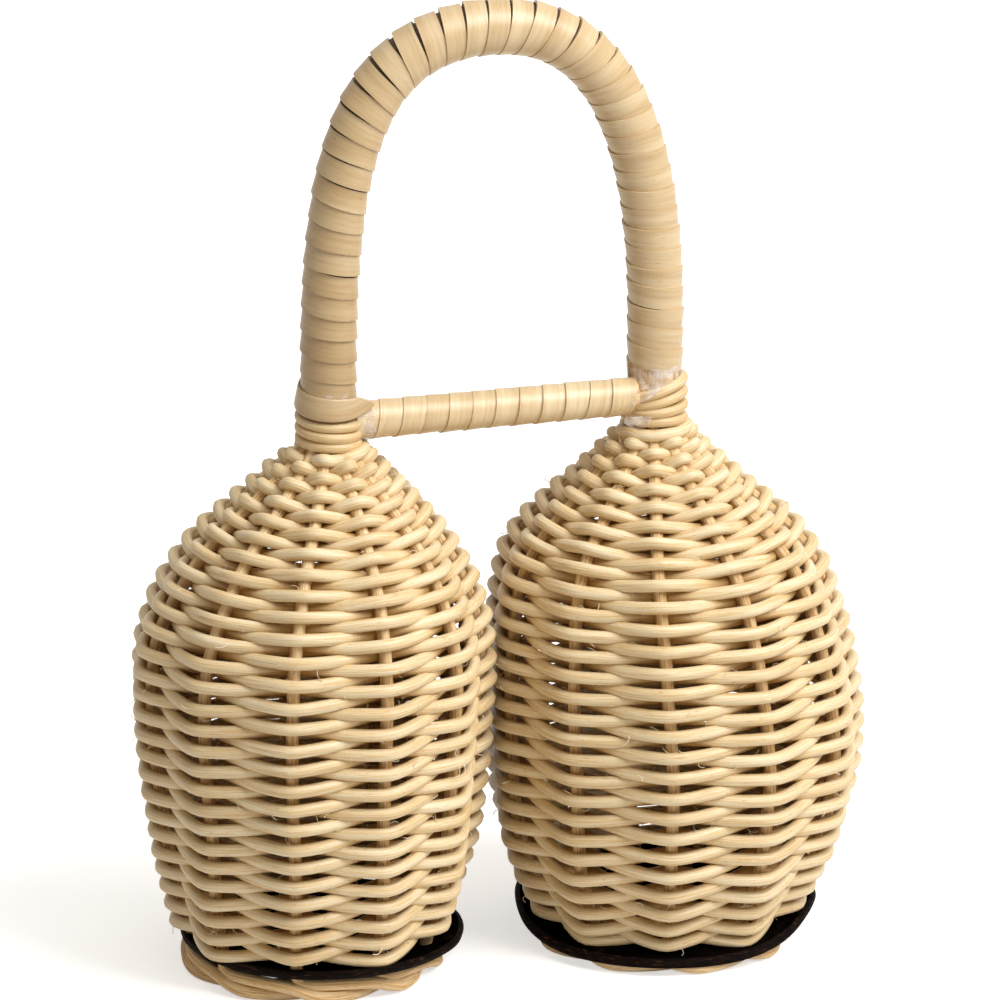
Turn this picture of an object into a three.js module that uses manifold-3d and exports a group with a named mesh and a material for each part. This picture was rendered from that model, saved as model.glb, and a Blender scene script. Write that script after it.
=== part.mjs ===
// Double caxixi: two woven cane shakers with gourd bases, joined by a wrapped arch handle and a crossbar.
// Millimetres, +Z up. The shakers stand side by side along X on the plane Z = 0, and the front faces -Y.

import * as THREE from "three";
import { mergeVertices } from "three/addons/utils/BufferGeometryUtils.js";
import Module from "manifold-3d";

const wasm = await Module();
wasm.setup();

// Cane stock
const STAKE_DIAMETER = 2.6;
const WEAVER_DIAMETER = 2.75;
const STRIP_THICKNESS = 0.8;

// Gaps
const CLEARANCE = 0.3; // between pieces that touch on the real object
const STAKE_GAP = 0.15; // between neighbouring stakes where they gather in the neck
const BINDING_GAP = 0.5; // between the turns of a neck binding
const STRIP_GAP = 0.65; // between the turns of a flat strip, along its core's centre line
const BELLY_GAP = 0.6; // between the two baskets where they are widest

// Baskets
const STAKE_COUNT = 11; // odd, so that a single weaver goes over and under by turns
const FOOT_HEIGHT = 5; // floor to the underside of the gourd
const FOOT_FLAT = 0.5; // how deep the stake tails are worn flat where they stand
const GOURD_THICKNESS = 2.2;
const GOURD_RIM = 3.9; // from the circle of stake holes to the edge of the gourd
const COLLAR_HEIGHT = 128; // floor to the top of the weave
const FOOT_SPACING = 86; // between the centres of the two gourds
const NECK_SPACING = 81; // between the centres of the two necks
const BINDING_TURNS = 3;
const WEAVE_RELIEF = 0.75; // depth of the weave's hollows, as a share of the weaver's diameter
const WEAVE_DIP = 0.33; // how much farther in the wall lies between two stakes, as a share of the same

// Outer face of each woven wall. The flank and belly are so high above the floor, and the shoulder,
// crown and throat so far below the collar.
const LEFT = {
  side: "left",
  direction: -1,
  stakeTurn: 19.6, // degrees from +X to the first stake
  weaveStake: 3, // stake that the weaver starts behind
  weaveStart: 2.85, // from the foot of that stake to the lowest round
  weaveRounds: 50, // how often the weaver goes round
  legReach: 51, // how far the handle's leg pulls the arch upright
  crownReach: 36.8, // how far its crown pulls the arch level
  footRadius: 34.3,
  flankRadius: 40.8,
  flankHeight: 32,
  bellyRadius: 44.2,
  bellyHeight: 61,
  shoulderRadius: 42.6,
  shoulderHeight: 42,
  crownRadius: 34.3,
  crownHeight: 22,
  throatRadius: 20.2,
  throatHeight: 7.3,
};
const RIGHT = {
  side: "right",
  direction: 1,
  stakeTurn: 23.9,
  weaveStake: 2,
  weaveStart: 0.2,
  weaveRounds: 51,
  legReach: 20,
  crownReach: 45,
  footRadius: 34.9,
  flankRadius: 43.4,
  flankHeight: 27,
  bellyRadius: 46,
  bellyHeight: 51,
  shoulderRadius: 43.8,
  shoulderHeight: 50,
  crownRadius: 37,
  crownHeight: 27,
  throatRadius: 19.4,
  throatHeight: 8.8,
};

// Handle and crossbar
const HANDLE_DIAMETER = 13.5; // over the wrap
const HANDLE_RISE = 89; // from the top of the necks to the centre line at the crown of the arch
const HANDLE_TURNS = 24;
const TENON_LENGTH = 12;
const TAPE_HEIGHT = 2.6;
const TAPE_THICKNESS = 0.4;
const CROSSBAR_DIAMETER = 9.2; // over the wrap
const CROSSBAR_TURNS = 12;
const CROSSBAR_SHARE = 0.65; // how far up the neck bindings the crossbar meets them

// Seeds
const SEED_COUNT = 11; // in each basket
const SEED_LENGTH = 7.6;
const SEED_WIDTH = 6;
const SEED_SPREAD = 21; // radius of the patch that the seeds lie on

// Fineness of the faceted shapes
const STAKE_SIDES = 5;
const BINDING_SIDES = 6;
const WALL_STEPS = 9;
const GOURD_FACETS_PER_STAKE = 3;
const TURN_STEPS = 12;
const ROD_SIDES = 12;
const ARCH_STEPS = 32;
const HOLE_SIDES = 6;

// Sizes that follow from the ones above
const STAKE_STEP = (2 * Math.PI) / STAKE_COUNT;
const NECK_RADIUS = (STAKE_DIAMETER + STAKE_GAP) / (2 * Math.sin(STAKE_STEP / 2)); // stake centres
const STAKE_DEPTH = WEAVER_DIAMETER + CLEARANCE + STAKE_DIAMETER / 2; // from the wall's outer face
const COLLAR_RADIUS = NECK_RADIUS + STAKE_DEPTH;
const GOURD_TOP = FOOT_HEIGHT + GOURD_THICKNESS;
const WALL_FOOT = GOURD_TOP + CLEARANCE;
const TAIL_HEIGHT = STAKE_DIAMETER / 2 - FOOT_FLAT; // centre of a tail where it stands
const BINDING_PITCH = WEAVER_DIAMETER + BINDING_GAP;
const BINDING_RADIUS = NECK_RADIUS + STAKE_DIAMETER / 2 + CLEARANCE + WEAVER_DIAMETER / 2;
const BINDING_OUTER = BINDING_RADIUS + WEAVER_DIAMETER / 2;
const BINDING_START = COLLAR_HEIGHT + CLEARANCE + WEAVER_DIAMETER / 2;
const BINDING_END = BINDING_START + BINDING_TURNS * BINDING_PITCH;
const STAKE_TOP = BINDING_END + WEAVER_DIAMETER / 2;
const HANDLE_FOOT = STAKE_TOP + CLEARANCE;
const CORE_RADIUS = HANDLE_DIAMETER / 2 - STRIP_THICKNESS - CLEARANCE;
const TENON_RADIUS = NECK_RADIUS - STAKE_DIAMETER / 2 - CLEARANCE;
const CROSSBAR_HEIGHT = BINDING_START + CROSSBAR_SHARE * (BINDING_END - BINDING_START);
const CROSSBAR_CORE_RADIUS = CROSSBAR_DIAMETER / 2 - STRIP_THICKNESS - CLEARANCE;
const CROSSBAR_END = BINDING_OUTER + CLEARANCE; // from the axis of a neck

// The box of the whole object is centred on X = 0
const HALF_WIDTH = LEFT.bellyRadius + RIGHT.bellyRadius + BELLY_GAP / 2;
for (const basket of [LEFT, RIGHT]) {
  basket.bellyX = basket.direction * (HALF_WIDTH - basket.bellyRadius);
}
const MIDDLE_X = (LEFT.bellyX + RIGHT.bellyX) / 2;
for (const basket of [LEFT, RIGHT]) {
  basket.footX = MIDDLE_X + (basket.direction * FOOT_SPACING) / 2;
  basket.neckX = MIDDLE_X + (basket.direction * NECK_SPACING) / 2;
}

// Materials
const paint = (color, roughness) => new THREE.MeshStandardMaterial({ color, roughness, metalness: 0 });
const CANE = paint("#e3cc9c", 0.6);
const STAKE_CANE = paint("#d2b47c", 0.7);
const STRIP_CANE = paint("#e6cf9d", 0.45);
const POLE_CANE = paint("#b08a58", 0.7);
const GOURD = paint("#2b1812", 0.5);
const SEED = paint("#7d5a3a", 0.4);
const TAPE = paint("#f1eee4", 0.15);

const instrument = new THREE.Group();

function addPiece(name, geometry, material) {
  const mesh = new THREE.Mesh(geometry, material);
  mesh.name = name;
  instrument.add(mesh);
  return mesh;
}

// A closed geometry as a solid that can be joined and cut
function toSolid(geometry) {
  const bare = geometry.clone();
  bare.deleteAttribute("normal");
  bare.deleteAttribute("uv");
  const merged = mergeVertices(bare, 1e-4);
  return new wasm.Manifold(
    new wasm.Mesh({
      numProp: 3,
      vertProperties: merged.getAttribute("position").array,
      triVerts: new Uint32Array(merged.index.array),
    }),
  );
}

function fromSolid(solid) {
  const { vertProperties, triVerts } = solid.getMesh();
  const geometry = new THREE.BufferGeometry();
  geometry.setAttribute("position", new THREE.BufferAttribute(vertProperties, 3));
  geometry.setIndex(new THREE.BufferAttribute(triVerts, 1));
  geometry.computeVertexNormals();
  return geometry;
}

function skin(points, faces) {
  const geometry = new THREE.BufferGeometry().setFromPoints(points);
  geometry.setIndex(faces);
  geometry.computeVertexNormals();
  return geometry;
}

function roundPoints(radius, sides) {
  return Array.from({ length: sides }, (_, i) => {
    const turn = (2 * Math.PI * i) / sides;
    return new THREE.Vector2(radius * Math.cos(turn), radius * Math.sin(turn));
  });
}

function rodAlong(path, diameter, sides, steps) {
  const section = new THREE.Shape(roundPoints(diameter / 2, sides));
  return new THREE.ExtrudeGeometry(section, { steps, extrudePath: path, bevelEnabled: false });
}

// A profile of radius and height turned about the Z axis and closed on itself
function turned(profile, facets, startTurn) {
  const geometry = new THREE.LatheGeometry([...profile, profile[0]], facets);
  geometry.rotateX(Math.PI / 2);
  geometry.rotateZ(startTurn);
  return geometry;
}

// A curve through chosen points that takes the same number of steps between any two of them
class WaypointCurve extends THREE.CatmullRomCurve3 {
  getPointAt(u, target) {
    return this.getPoint(u, target);
  }

  getTangentAt(u, target) {
    return this.getTangent(u, target);
  }
}

class Helix extends THREE.Curve {
  constructor(radius, turns, pitch) {
    super();
    Object.assign(this, { radius, turns, pitch });
  }

  getPoint(t, target = new THREE.Vector3()) {
    const turn = -2 * Math.PI * this.turns * t;
    const height = this.turns * this.pitch * t;
    return target.set(this.radius * Math.cos(turn), this.radius * Math.sin(turn), height);
  }
}

// Least distance between two edges of a winding, on points at least half a turn apart
function leastGap(lower, upper) {
  let least = Infinity;
  for (let i = 0; i < lower.length; i += 1) {
    for (let j = 0; j < upper.length; j += 1) {
      if (Math.abs(i - j) > TURN_STEPS / 2) {
        least = Math.min(least, lower[i].distanceTo(upper[j]));
      }
    }
  }
  return least;
}

// Baskets: the axis of a basket sways from its foot, out to its belly and in to its neck
function axisX(basket, z) {
  const end = z < basket.bellyHeight ? WALL_FOOT : COLLAR_HEIGHT;
  const endX = z < basket.bellyHeight ? basket.footX : basket.neckX;
  const share = Math.abs(z - basket.bellyHeight) / Math.abs(end - basket.bellyHeight);
  return basket.bellyX + (endX - basket.bellyX) * THREE.MathUtils.smoothstep(share, 0, 1);
}

function onBasket(basket, turn, radius, z) {
  return new THREE.Vector3(axisX(basket, z) + radius * Math.cos(turn), radius * Math.sin(turn), z);
}

function outline(basket) {
  return new THREE.SplineCurve([
    new THREE.Vector2(basket.footRadius, WALL_FOOT),
    new THREE.Vector2(basket.flankRadius, basket.flankHeight),
    new THREE.Vector2(basket.bellyRadius, basket.bellyHeight),
    new THREE.Vector2(basket.shoulderRadius, COLLAR_HEIGHT - basket.shoulderHeight),
    new THREE.Vector2(basket.crownRadius, COLLAR_HEIGHT - basket.crownHeight),
    new THREE.Vector2(basket.throatRadius, COLLAR_HEIGHT - basket.throatHeight),
    new THREE.Vector2(COLLAR_RADIUS, COLLAR_HEIGHT),
  ]);
}

// The outline from foot to collar, moved in from the wall's outer face by a depth
function meridian(basket, depth) {
  const curve = outline(basket);
  return Array.from({ length: WALL_STEPS + 1 }, (_, i) => {
    const point = curve.getPoint(i / WALL_STEPS);
    const along = curve.getTangent(i / WALL_STEPS);
    return new THREE.Vector2(point.x - depth * along.y, point.y + depth * along.x);
  });
}

function holeCircle(basket) {
  return meridian(basket, STAKE_DEPTH)[0].x;
}

// How much farther in the wall lies halfway between two stakes: most at the belly, where they stand far
// apart, and nothing at the collar, where they touch
function dipBetweenStakes(basket, radius) {
  const share = (radius - COLLAR_RADIUS) / (basket.bellyRadius - COLLAR_RADIUS);
  return WEAVE_DIP * WEAVER_DIAMETER * THREE.MathUtils.clamp(share, 0, 1);
}

// The wall's outer skin follows the weaver, which climbs the stakes by one pitch in each round and has a
// point at every stake and halfway to the next. It sinks at one stake, crests in front of the one after and
// dips between them. Flat rings close the skin at the foot and the collar, and an inner skin lies against
// the stakes.
function wovenWall(basket) {
  const columns = 2 * STAKE_COUNT;
  const total = basket.weaveRounds * columns;
  const stakeLine = new THREE.SplineCurve(meridian(basket, STAKE_DEPTH));
  const length = stakeLine.getLength();
  const pitch = (length - basket.weaveStart) / (basket.weaveRounds + 0.25);
  const firstTurn = THREE.MathUtils.degToRad(basket.stakeTurn) + basket.weaveStake * STAKE_STEP;
  const points = [];
  const depths = [];
  const addPoint = (column, flat, depth) => {
    const turn = firstTurn + (column * STAKE_STEP) / 2;
    points.push(onBasket(basket, turn, flat.x, flat.y));
    depths.push(depth);
  };
  for (let i = 0; i <= total; i += 1) {
    const climb = (basket.weaveStart + (pitch * i) / columns) / length;
    const along = stakeLine.getTangentAt(climb);
    const outward = new THREE.Vector2(along.y, -along.x);
    const flat = stakeLine.getPointAt(climb);
    const crest = i % 4 === 2;
    const dip = i % 2 === 1 ? dipBetweenStakes(basket, flat.x) : 0;
    const depth = crest ? 0 : WEAVE_RELIEF * WEAVER_DIAMETER + dip;
    addPoint(i, flat.addScaledVector(outward, STAKE_DEPTH - depth), depth);
  }
  const edge = meridian(basket, (WEAVE_RELIEF * WEAVER_DIAMETER) / 2);
  const inner = meridian(basket, WEAVER_DIAMETER);
  const rings = [edge[0], edge[WALL_STEPS], ...inner].map((flat, ring) => {
    const start = points.length;
    for (let column = 0; column < columns; column += 1) {
      const dip = ring > 1 && column % 2 === 1 ? dipBetweenStakes(basket, flat.x) : 0;
      addPoint(column, new THREE.Vector2(flat.x - dip, flat.y), 0);
    }
    return start;
  });
  const [foot, collar, ...lining] = rings;
  const faces = [];
  // Each quad is split along its shallower diagonal, which keeps the crests whole
  const quad = (a, b, c, d) => {
    if (depths[a] + depths[c] < depths[b] + depths[d]) {
      faces.push(a, b, c, a, c, d);
    } else {
      faces.push(a, b, d, b, c, d);
    }
  };
  const top = total - columns;
  for (let i = 0; i < top; i += 1) {
    quad(i, i + 1, i + columns + 1, i + columns);
  }
  faces.push(foot, 0, columns);
  faces.push(top, collar, total);
  for (let column = 0; column < columns; column += 1) {
    const next = (column + 1) % columns;
    quad(foot + column, foot + next, column + 1, column);
    quad(top + column, top + column + 1, collar + next, collar + column);
    quad(foot + next, foot + column, lining[0] + column, lining[0] + next);
    quad(collar + column, collar + next, lining[WALL_STEPS] + next, lining[WALL_STEPS] + column);
    for (let i = 0; i < WALL_STEPS; i += 1) {
      quad(lining[i] + column, lining[i + 1] + column, lining[i + 1] + next, lining[i] + next);
    }
  }
  return skin(points, faces);
}

// How a stake's tail runs under the gourd: stake steps round, stake diameters out, share of the way down
const TAIL_ROUTE = [
  [0.03, 0.04, 0.26],
  [0.12, 0.27, 0.5],
  [0.3, 0.65, 0.69],
  [0.55, 0.77, 0.9],
  [0.8, 0.23, 1],
  [1, -0.92, 1],
  [1.2, -1.23, 0.95],
  [1.45, -1.27, 0.83],
];

const floorSize = 4 * HALF_WIDTH;
const floor = toSolid(new THREE.BoxGeometry(floorSize, floorSize, floorSize).translate(0, 0, -floorSize / 2));

function stake(basket, index) {
  const turn = THREE.MathUtils.degToRad(basket.stakeTurn) + index * STAKE_STEP;
  const hole = holeCircle(basket);
  const tail = TAIL_ROUTE.map(([steps, out, down]) =>
    onBasket(
      basket,
      turn + steps * STAKE_STEP,
      hole + out * STAKE_DIAMETER,
      THREE.MathUtils.lerp(FOOT_HEIGHT, TAIL_HEIGHT, down),
    ),
  );
  const wall = meridian(basket, STAKE_DEPTH)
    .reverse()
    .map((point) => onBasket(basket, turn, point.x, point.y));
  const points = [
    onBasket(basket, turn, NECK_RADIUS, STAKE_TOP),
    onBasket(basket, turn, NECK_RADIUS, COLLAR_HEIGHT),
    ...wall,
    onBasket(basket, turn, hole, GOURD_TOP),
    onBasket(basket, turn, hole, FOOT_HEIGHT),
    ...tail,
  ];
  const cane = rodAlong(new WaypointCurve(points), STAKE_DIAMETER, STAKE_SIDES, points.length - 1);
  return fromSolid(toSolid(cane).subtract(floor));
}

function gourdBase(basket) {
  const hole = holeCircle(basket);
  const rim = roundPoints(hole + GOURD_RIM, STAKE_COUNT * GOURD_FACETS_PER_STAKE);
  const disc = new THREE.Shape(rim);
  for (let i = 0; i < STAKE_COUNT; i += 1) {
    const turn = THREE.MathUtils.degToRad(basket.stakeTurn) + i * STAKE_STEP;
    const wide = (STAKE_DIAMETER / 2 + CLEARANCE) / Math.cos(Math.PI / HOLE_SIDES);
    const edge = roundPoints(wide, HOLE_SIDES).map((point) =>
      point.add(new THREE.Vector2(hole * Math.cos(turn), hole * Math.sin(turn))),
    );
    disc.holes.push(new THREE.Path(edge));
  }
  const geometry = new THREE.ExtrudeGeometry(disc, { depth: GOURD_THICKNESS, bevelEnabled: false });
  return geometry.translate(basket.footX, 0, FOOT_HEIGHT);
}

function neckBinding(basket) {
  const path = new Helix(BINDING_RADIUS, BINDING_TURNS, BINDING_PITCH);
  const steps = BINDING_TURNS * TURN_STEPS;
  const centres = path.getSpacedPoints(steps);
  const gap = leastGap(centres, centres) - WEAVER_DIAMETER;
  console.log(`${basket.side}_neck_binding least gap ${gap.toFixed(2)} mm`);
  const cane = rodAlong(path, WEAVER_DIAMETER, BINDING_SIDES, steps);
  return cane.translate(basket.neckX, 0, BINDING_START);
}

function clearTape(basket) {
  const inner = CORE_RADIUS + CLEARANCE;
  const outer = inner + TAPE_THICKNESS;
  const profile = [
    new THREE.Vector2(outer, 0),
    new THREE.Vector2(outer, TAPE_HEIGHT),
    new THREE.Vector2(inner, TAPE_HEIGHT),
    new THREE.Vector2(inner, 0),
  ];
  return turned(profile, ROD_SIDES, 0).translate(basket.neckX, 0, HANDLE_FOOT);
}

// Seeds lie one deep on the gourd in a spiral that spaces them evenly
function addSeeds(basket) {
  const goldenTurn = Math.PI * (3 - Math.sqrt(5));
  for (let i = 0; i < SEED_COUNT; i += 1) {
    const reach = SEED_SPREAD * Math.sqrt((i + 0.5) / SEED_COUNT);
    const turn = i * goldenTurn;
    const shape = new THREE.SphereGeometry(0.5, 6, 5).rotateX(Math.PI / 2);
    shape.scale(SEED_LENGTH, SEED_WIDTH, SEED_WIDTH);
    const name = `${basket.side}_seed_${String(i + 1).padStart(2, "0")}`;
    const seed = addPiece(name, shape, SEED);
    seed.position.set(
      basket.footX + reach * Math.cos(turn),
      reach * Math.sin(turn),
      GOURD_TOP + CLEARANCE + SEED_WIDTH / 2,
    );
    seed.rotation.z = i * i;
  }
}

for (const basket of [LEFT, RIGHT]) {
  addPiece(`${basket.side}_gourd_base`, gourdBase(basket), GOURD);
  for (let i = 0; i < STAKE_COUNT; i += 1) {
    addPiece(`${basket.side}_stake_${String(i + 1).padStart(2, "0")}`, stake(basket, i), STAKE_CANE);
  }
  addPiece(`${basket.side}_woven_wall`, wovenWall(basket), CANE);
  addPiece(`${basket.side}_neck_binding`, neckBinding(basket), CANE);
  addPiece(`${basket.side}_clear_tape`, clearTape(basket), TAPE);
  addSeeds(basket);
}

// Handle: two Bezier curves, upright at the necks and level at the crown
const HANDLE_CROWN = HANDLE_FOOT + HANDLE_RISE;
const inHandle = (x, z) => new THREE.Vector3(MIDDLE_X + x, 0, z);
const handlePath = new THREE.CurvePath();
handlePath.add(
  new THREE.CubicBezierCurve3(
    inHandle(-NECK_SPACING / 2, HANDLE_FOOT),
    inHandle(-NECK_SPACING / 2, HANDLE_FOOT + LEFT.legReach),
    inHandle(-LEFT.crownReach, HANDLE_CROWN),
    inHandle(0, HANDLE_CROWN),
  ),
);
handlePath.add(
  new THREE.CubicBezierCurve3(
    inHandle(0, HANDLE_CROWN),
    inHandle(RIGHT.crownReach, HANDLE_CROWN),
    inHandle(NECK_SPACING / 2, HANDLE_FOOT + RIGHT.legReach),
    inHandle(NECK_SPACING / 2, HANDLE_FOOT),
  ),
);

function tenon(basket) {
  const rod = new THREE.CylinderGeometry(TENON_RADIUS, TENON_RADIUS, TENON_LENGTH + CORE_RADIUS, ROD_SIDES);
  rod.rotateX(Math.PI / 2);
  return rod.translate(basket.neckX, 0, HANDLE_FOOT + (CORE_RADIUS - TENON_LENGTH) / 2);
}

function handleCore() {
  const pole = toSolid(rodAlong(handlePath, 2 * CORE_RADIUS, ROD_SIDES, ARCH_STEPS));
  return fromSolid(pole.add(toSolid(tenon(LEFT))).add(toSolid(tenon(RIGHT))));
}

// A flat strip wound along a curve that lies in the XZ plane, from one distance along it to another
function woundStrip(name, path, innerRadius, turns, from, to) {
  const length = path.getLength();
  const pitch = (to - from + STRIP_GAP) / (turns + 1);
  const width = pitch - STRIP_GAP;
  const steps = turns * TURN_STEPS;
  const outerRadius = innerRadius + STRIP_THICKNESS;
  const front = new THREE.Vector3(0, -1, 0);
  const corner = (distance, turn, radius) => {
    const point = path.getPointAt(distance / length);
    const sideways = new THREE.Vector3().crossVectors(path.getTangentAt(distance / length), front);
    point.addScaledVector(sideways, radius * Math.cos(turn));
    return point.addScaledVector(front, radius * Math.sin(turn));
  };
  const rings = [];
  for (let i = 0; i <= steps; i += 1) {
    const start = from + (pitch * i) / TURN_STEPS;
    const turn = (2 * Math.PI * i) / TURN_STEPS;
    rings.push([
      corner(start, turn, innerRadius),
      corner(start, turn, outerRadius),
      corner(start + width / 2, turn, outerRadius),
      corner(start + width, turn, outerRadius),
      corner(start + width, turn, innerRadius),
      corner(start + width / 2, turn, innerRadius),
    ]);
  }
  const edge = (index) => rings.map((ring) => ring[index]);
  const gap = Math.min(leastGap(edge(0), edge(4)), leastGap(edge(1), edge(3)));
  console.log(`${name} least gap ${gap.toFixed(2)} mm`);
  return loft(rings);
}

// A closed skin over a row of sections, each two corners wide and bent in the middle
function loft(rings) {
  const sides = rings[0].length;
  const last = (rings.length - 1) * sides;
  const faces = [];
  const quad = (a, b, c, d) => faces.push(a, b, c, a, c, d);
  for (let i = 0; i < rings.length - 1; i += 1) {
    for (let k = 0; k < sides; k += 1) {
      const here = i * sides;
      const next = (k + 1) % sides;
      quad(here + k, here + next, here + sides + next, here + sides + k);
    }
  }
  quad(5, 2, 1, 0);
  quad(5, 4, 3, 2);
  quad(last, last + 1, last + 2, last + 5);
  quad(last + 2, last + 3, last + 4, last + 5);
  return skin(rings.flat(), faces);
}

addPiece("handle_core", handleCore(), POLE_CANE);
const wrapStart = TAPE_HEIGHT + CLEARANCE;
const wrapEnd = handlePath.getLength() - wrapStart;
const handleInner = CORE_RADIUS + CLEARANCE;
addPiece(
  "handle_wrap",
  woundStrip("handle_wrap", handlePath, handleInner, HANDLE_TURNS, wrapStart, wrapEnd),
  STRIP_CANE,
);

// Crossbar: a rod between the necks, with its ends hollowed to fit round them
const crossbarPath = new THREE.LineCurve3(
  inHandle(-NECK_SPACING / 2, CROSSBAR_HEIGHT),
  inHandle(NECK_SPACING / 2, CROSSBAR_HEIGHT),
);

function crossbarCore() {
  let rod = toSolid(rodAlong(crossbarPath, 2 * CROSSBAR_CORE_RADIUS, ROD_SIDES, 1));
  for (const basket of [LEFT, RIGHT]) {
    const facets = 2 * ROD_SIDES;
    const reach = CROSSBAR_END / Math.cos(Math.PI / facets);
    const neck = new THREE.CylinderGeometry(reach, reach, 2 * CROSSBAR_DIAMETER, facets);
    neck.rotateX(Math.PI / 2).translate(basket.neckX, 0, CROSSBAR_HEIGHT);
    rod = rod.subtract(toSolid(neck));
  }
  return fromSolid(rod);
}

addPiece("crossbar_core", crossbarCore(), POLE_CANE);
const barStart = CROSSBAR_END;
const barEnd = NECK_SPACING - CROSSBAR_END;
const barInner = CROSSBAR_CORE_RADIUS + CLEARANCE;
addPiece(
  "crossbar_wrap",
  woundStrip("crossbar_wrap", crossbarPath, barInner, CROSSBAR_TURNS, barStart, barEnd),
  STRIP_CANE,
);

export default instrument;
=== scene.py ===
# %% [markdown]
# # A double caxixi
# A caxixi is a shaker: a little cane basket, closed below by a disc of gourd, with seeds inside. This one
# is a double, two baskets under one arched handle. The imported solids are the frame that everything here
# is measured from, so they are loaded first.

# %% Load the frame
import math

import bmesh
import bpy
import numpy as np
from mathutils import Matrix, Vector, noise


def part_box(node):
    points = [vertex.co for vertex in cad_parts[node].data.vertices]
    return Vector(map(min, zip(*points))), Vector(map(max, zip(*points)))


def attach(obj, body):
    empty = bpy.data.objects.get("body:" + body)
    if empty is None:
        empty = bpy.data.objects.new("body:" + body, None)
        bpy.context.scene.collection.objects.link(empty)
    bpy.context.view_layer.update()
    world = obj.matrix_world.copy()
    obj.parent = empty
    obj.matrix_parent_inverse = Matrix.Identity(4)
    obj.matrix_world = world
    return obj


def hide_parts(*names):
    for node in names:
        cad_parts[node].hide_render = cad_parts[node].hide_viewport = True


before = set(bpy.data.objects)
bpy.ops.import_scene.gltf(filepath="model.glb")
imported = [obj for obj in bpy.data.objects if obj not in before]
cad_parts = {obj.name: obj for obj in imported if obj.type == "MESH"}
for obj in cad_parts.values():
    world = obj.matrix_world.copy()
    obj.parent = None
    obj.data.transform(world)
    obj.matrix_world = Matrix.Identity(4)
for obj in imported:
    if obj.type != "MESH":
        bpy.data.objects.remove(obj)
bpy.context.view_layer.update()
scene = bpy.context.scene
MM = 0.001  # sizes below are in millimetres, and Blender works in metres
BODY = "instrument"


# %% [markdown]
# ## Shared tools
# Geometry Nodes and shader trees are built from the same few moves: add a node, set it, join its
# sockets. Long chains of Math nodes are hard to read, so what a node hands out is wrapped in a small
# class that turns plus, minus, times and divide into Math nodes. A tree then reads like a formula.

# %% Numbers in a tree
class Number:
    """What a node hands out. Sums and products of such numbers become Math nodes."""

    def __init__(self, socket):
        self.socket = socket

    def __add__(self, other):
        return calc("ADD", self, other)

    def __radd__(self, other):
        return calc("ADD", other, self)

    def __sub__(self, other):
        return calc("SUBTRACT", self, other)

    def __rsub__(self, other):
        return calc("SUBTRACT", other, self)

    def __mul__(self, other):
        return calc("MULTIPLY", self, other)

    def __truediv__(self, other):
        return calc("DIVIDE", self, other)


# %% [markdown]
# The other helpers add nodes and fill in their inputs, with plain values or with what other nodes hand
# out. Each finds the tree that it works in from the sockets that it is given.

# %% Helpers for node trees
def bare(value):
    """The socket of a wrapped number, or any other value as it is."""
    return value.socket if isinstance(value, Number) else value


def tree_of(*values):
    """The node tree that the first socket among some values belongs to."""
    return next(bare(value).id_data for value in values if isinstance(bare(value), bpy.types.NodeSocket))


def fill_in(node, inputs):
    """Sets a node's inputs, or joins them to what other nodes hand out."""
    for key, value in dict(inputs).items():
        value = bare(value)
        if isinstance(value, bpy.types.NodeSocket):
            node.id_data.links.new(value, node.inputs[key])
        else:
            node.inputs[key].default_value = value


def add_node(tree, kind, inputs=(), **settings):
    """A new node with its settings made and its inputs filled in."""
    node = tree.nodes.new(kind)
    for key, value in settings.items():
        setattr(node, key, value)
    fill_in(node, inputs)
    return node


def calc(operation, *terms):
    """The result of a Math node, with at least one of its terms from another node."""
    node = add_node(tree_of(*terms), "ShaderNodeMath", enumerate(terms), operation=operation)
    return Number(node.outputs[0])


def vector_calc(operation, *terms, **scale):
    """The result of a Vector Math node, with a Scale where the operation takes one."""
    tree = tree_of(*terms, *scale.values())
    inputs = {**dict(enumerate(terms)), **scale}
    return add_node(tree, "ShaderNodeVectorMath", inputs, operation=operation).outputs["Vector"]


def parts(vector):
    """X, Y and Z of a vector."""
    return [Number(part) for part in add_node(tree_of(vector), "ShaderNodeSeparateXYZ", {0: vector}).outputs]


def eased(value, low, high):
    """Goes smoothly from 0 to 1 while a value goes from low to high."""
    inputs = {"Value": value, "From Min": low, "From Max": high}
    return Number(
        add_node(tree_of(value), "ShaderNodeMapRange", inputs, interpolation_type="SMOOTHSTEP").outputs[0]
    )


NOISE_STRIDE = 37.3  # how far apart two seeds lie on the same noise
NOISE_GAIN = 2.6  # widens noise that stays near its middle


def wander(along, seed):
    """Smooth noise between about -1 and 1 along a single number."""
    inputs = {"W": along + seed * NOISE_STRIDE, "Scale": 1.0, "Detail": 1.0}
    texture = add_node(tree_of(along), "ShaderNodeTexNoise", inputs, noise_dimensions="1D")
    return (Number(texture.outputs[0]) - 0.5) * NOISE_GAIN


def new_tree(kind, name, inputs, outputs):
    """An empty node tree with named sockets, and the numbers that it is given."""
    tree = bpy.data.node_groups.new(name, kind)
    for side, sockets in (("INPUT", inputs), ("OUTPUT", outputs)):
        for label, content in sockets.items():
            tree.interface.new_socket(label, in_out=side, socket_type="NodeSocket" + content)
    ends = tree.nodes.new("NodeGroupInput").outputs
    print("tree:", name, "with inputs", ", ".join(inputs))
    return tree, {label: Number(ends[label]) for label in inputs}
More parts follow.
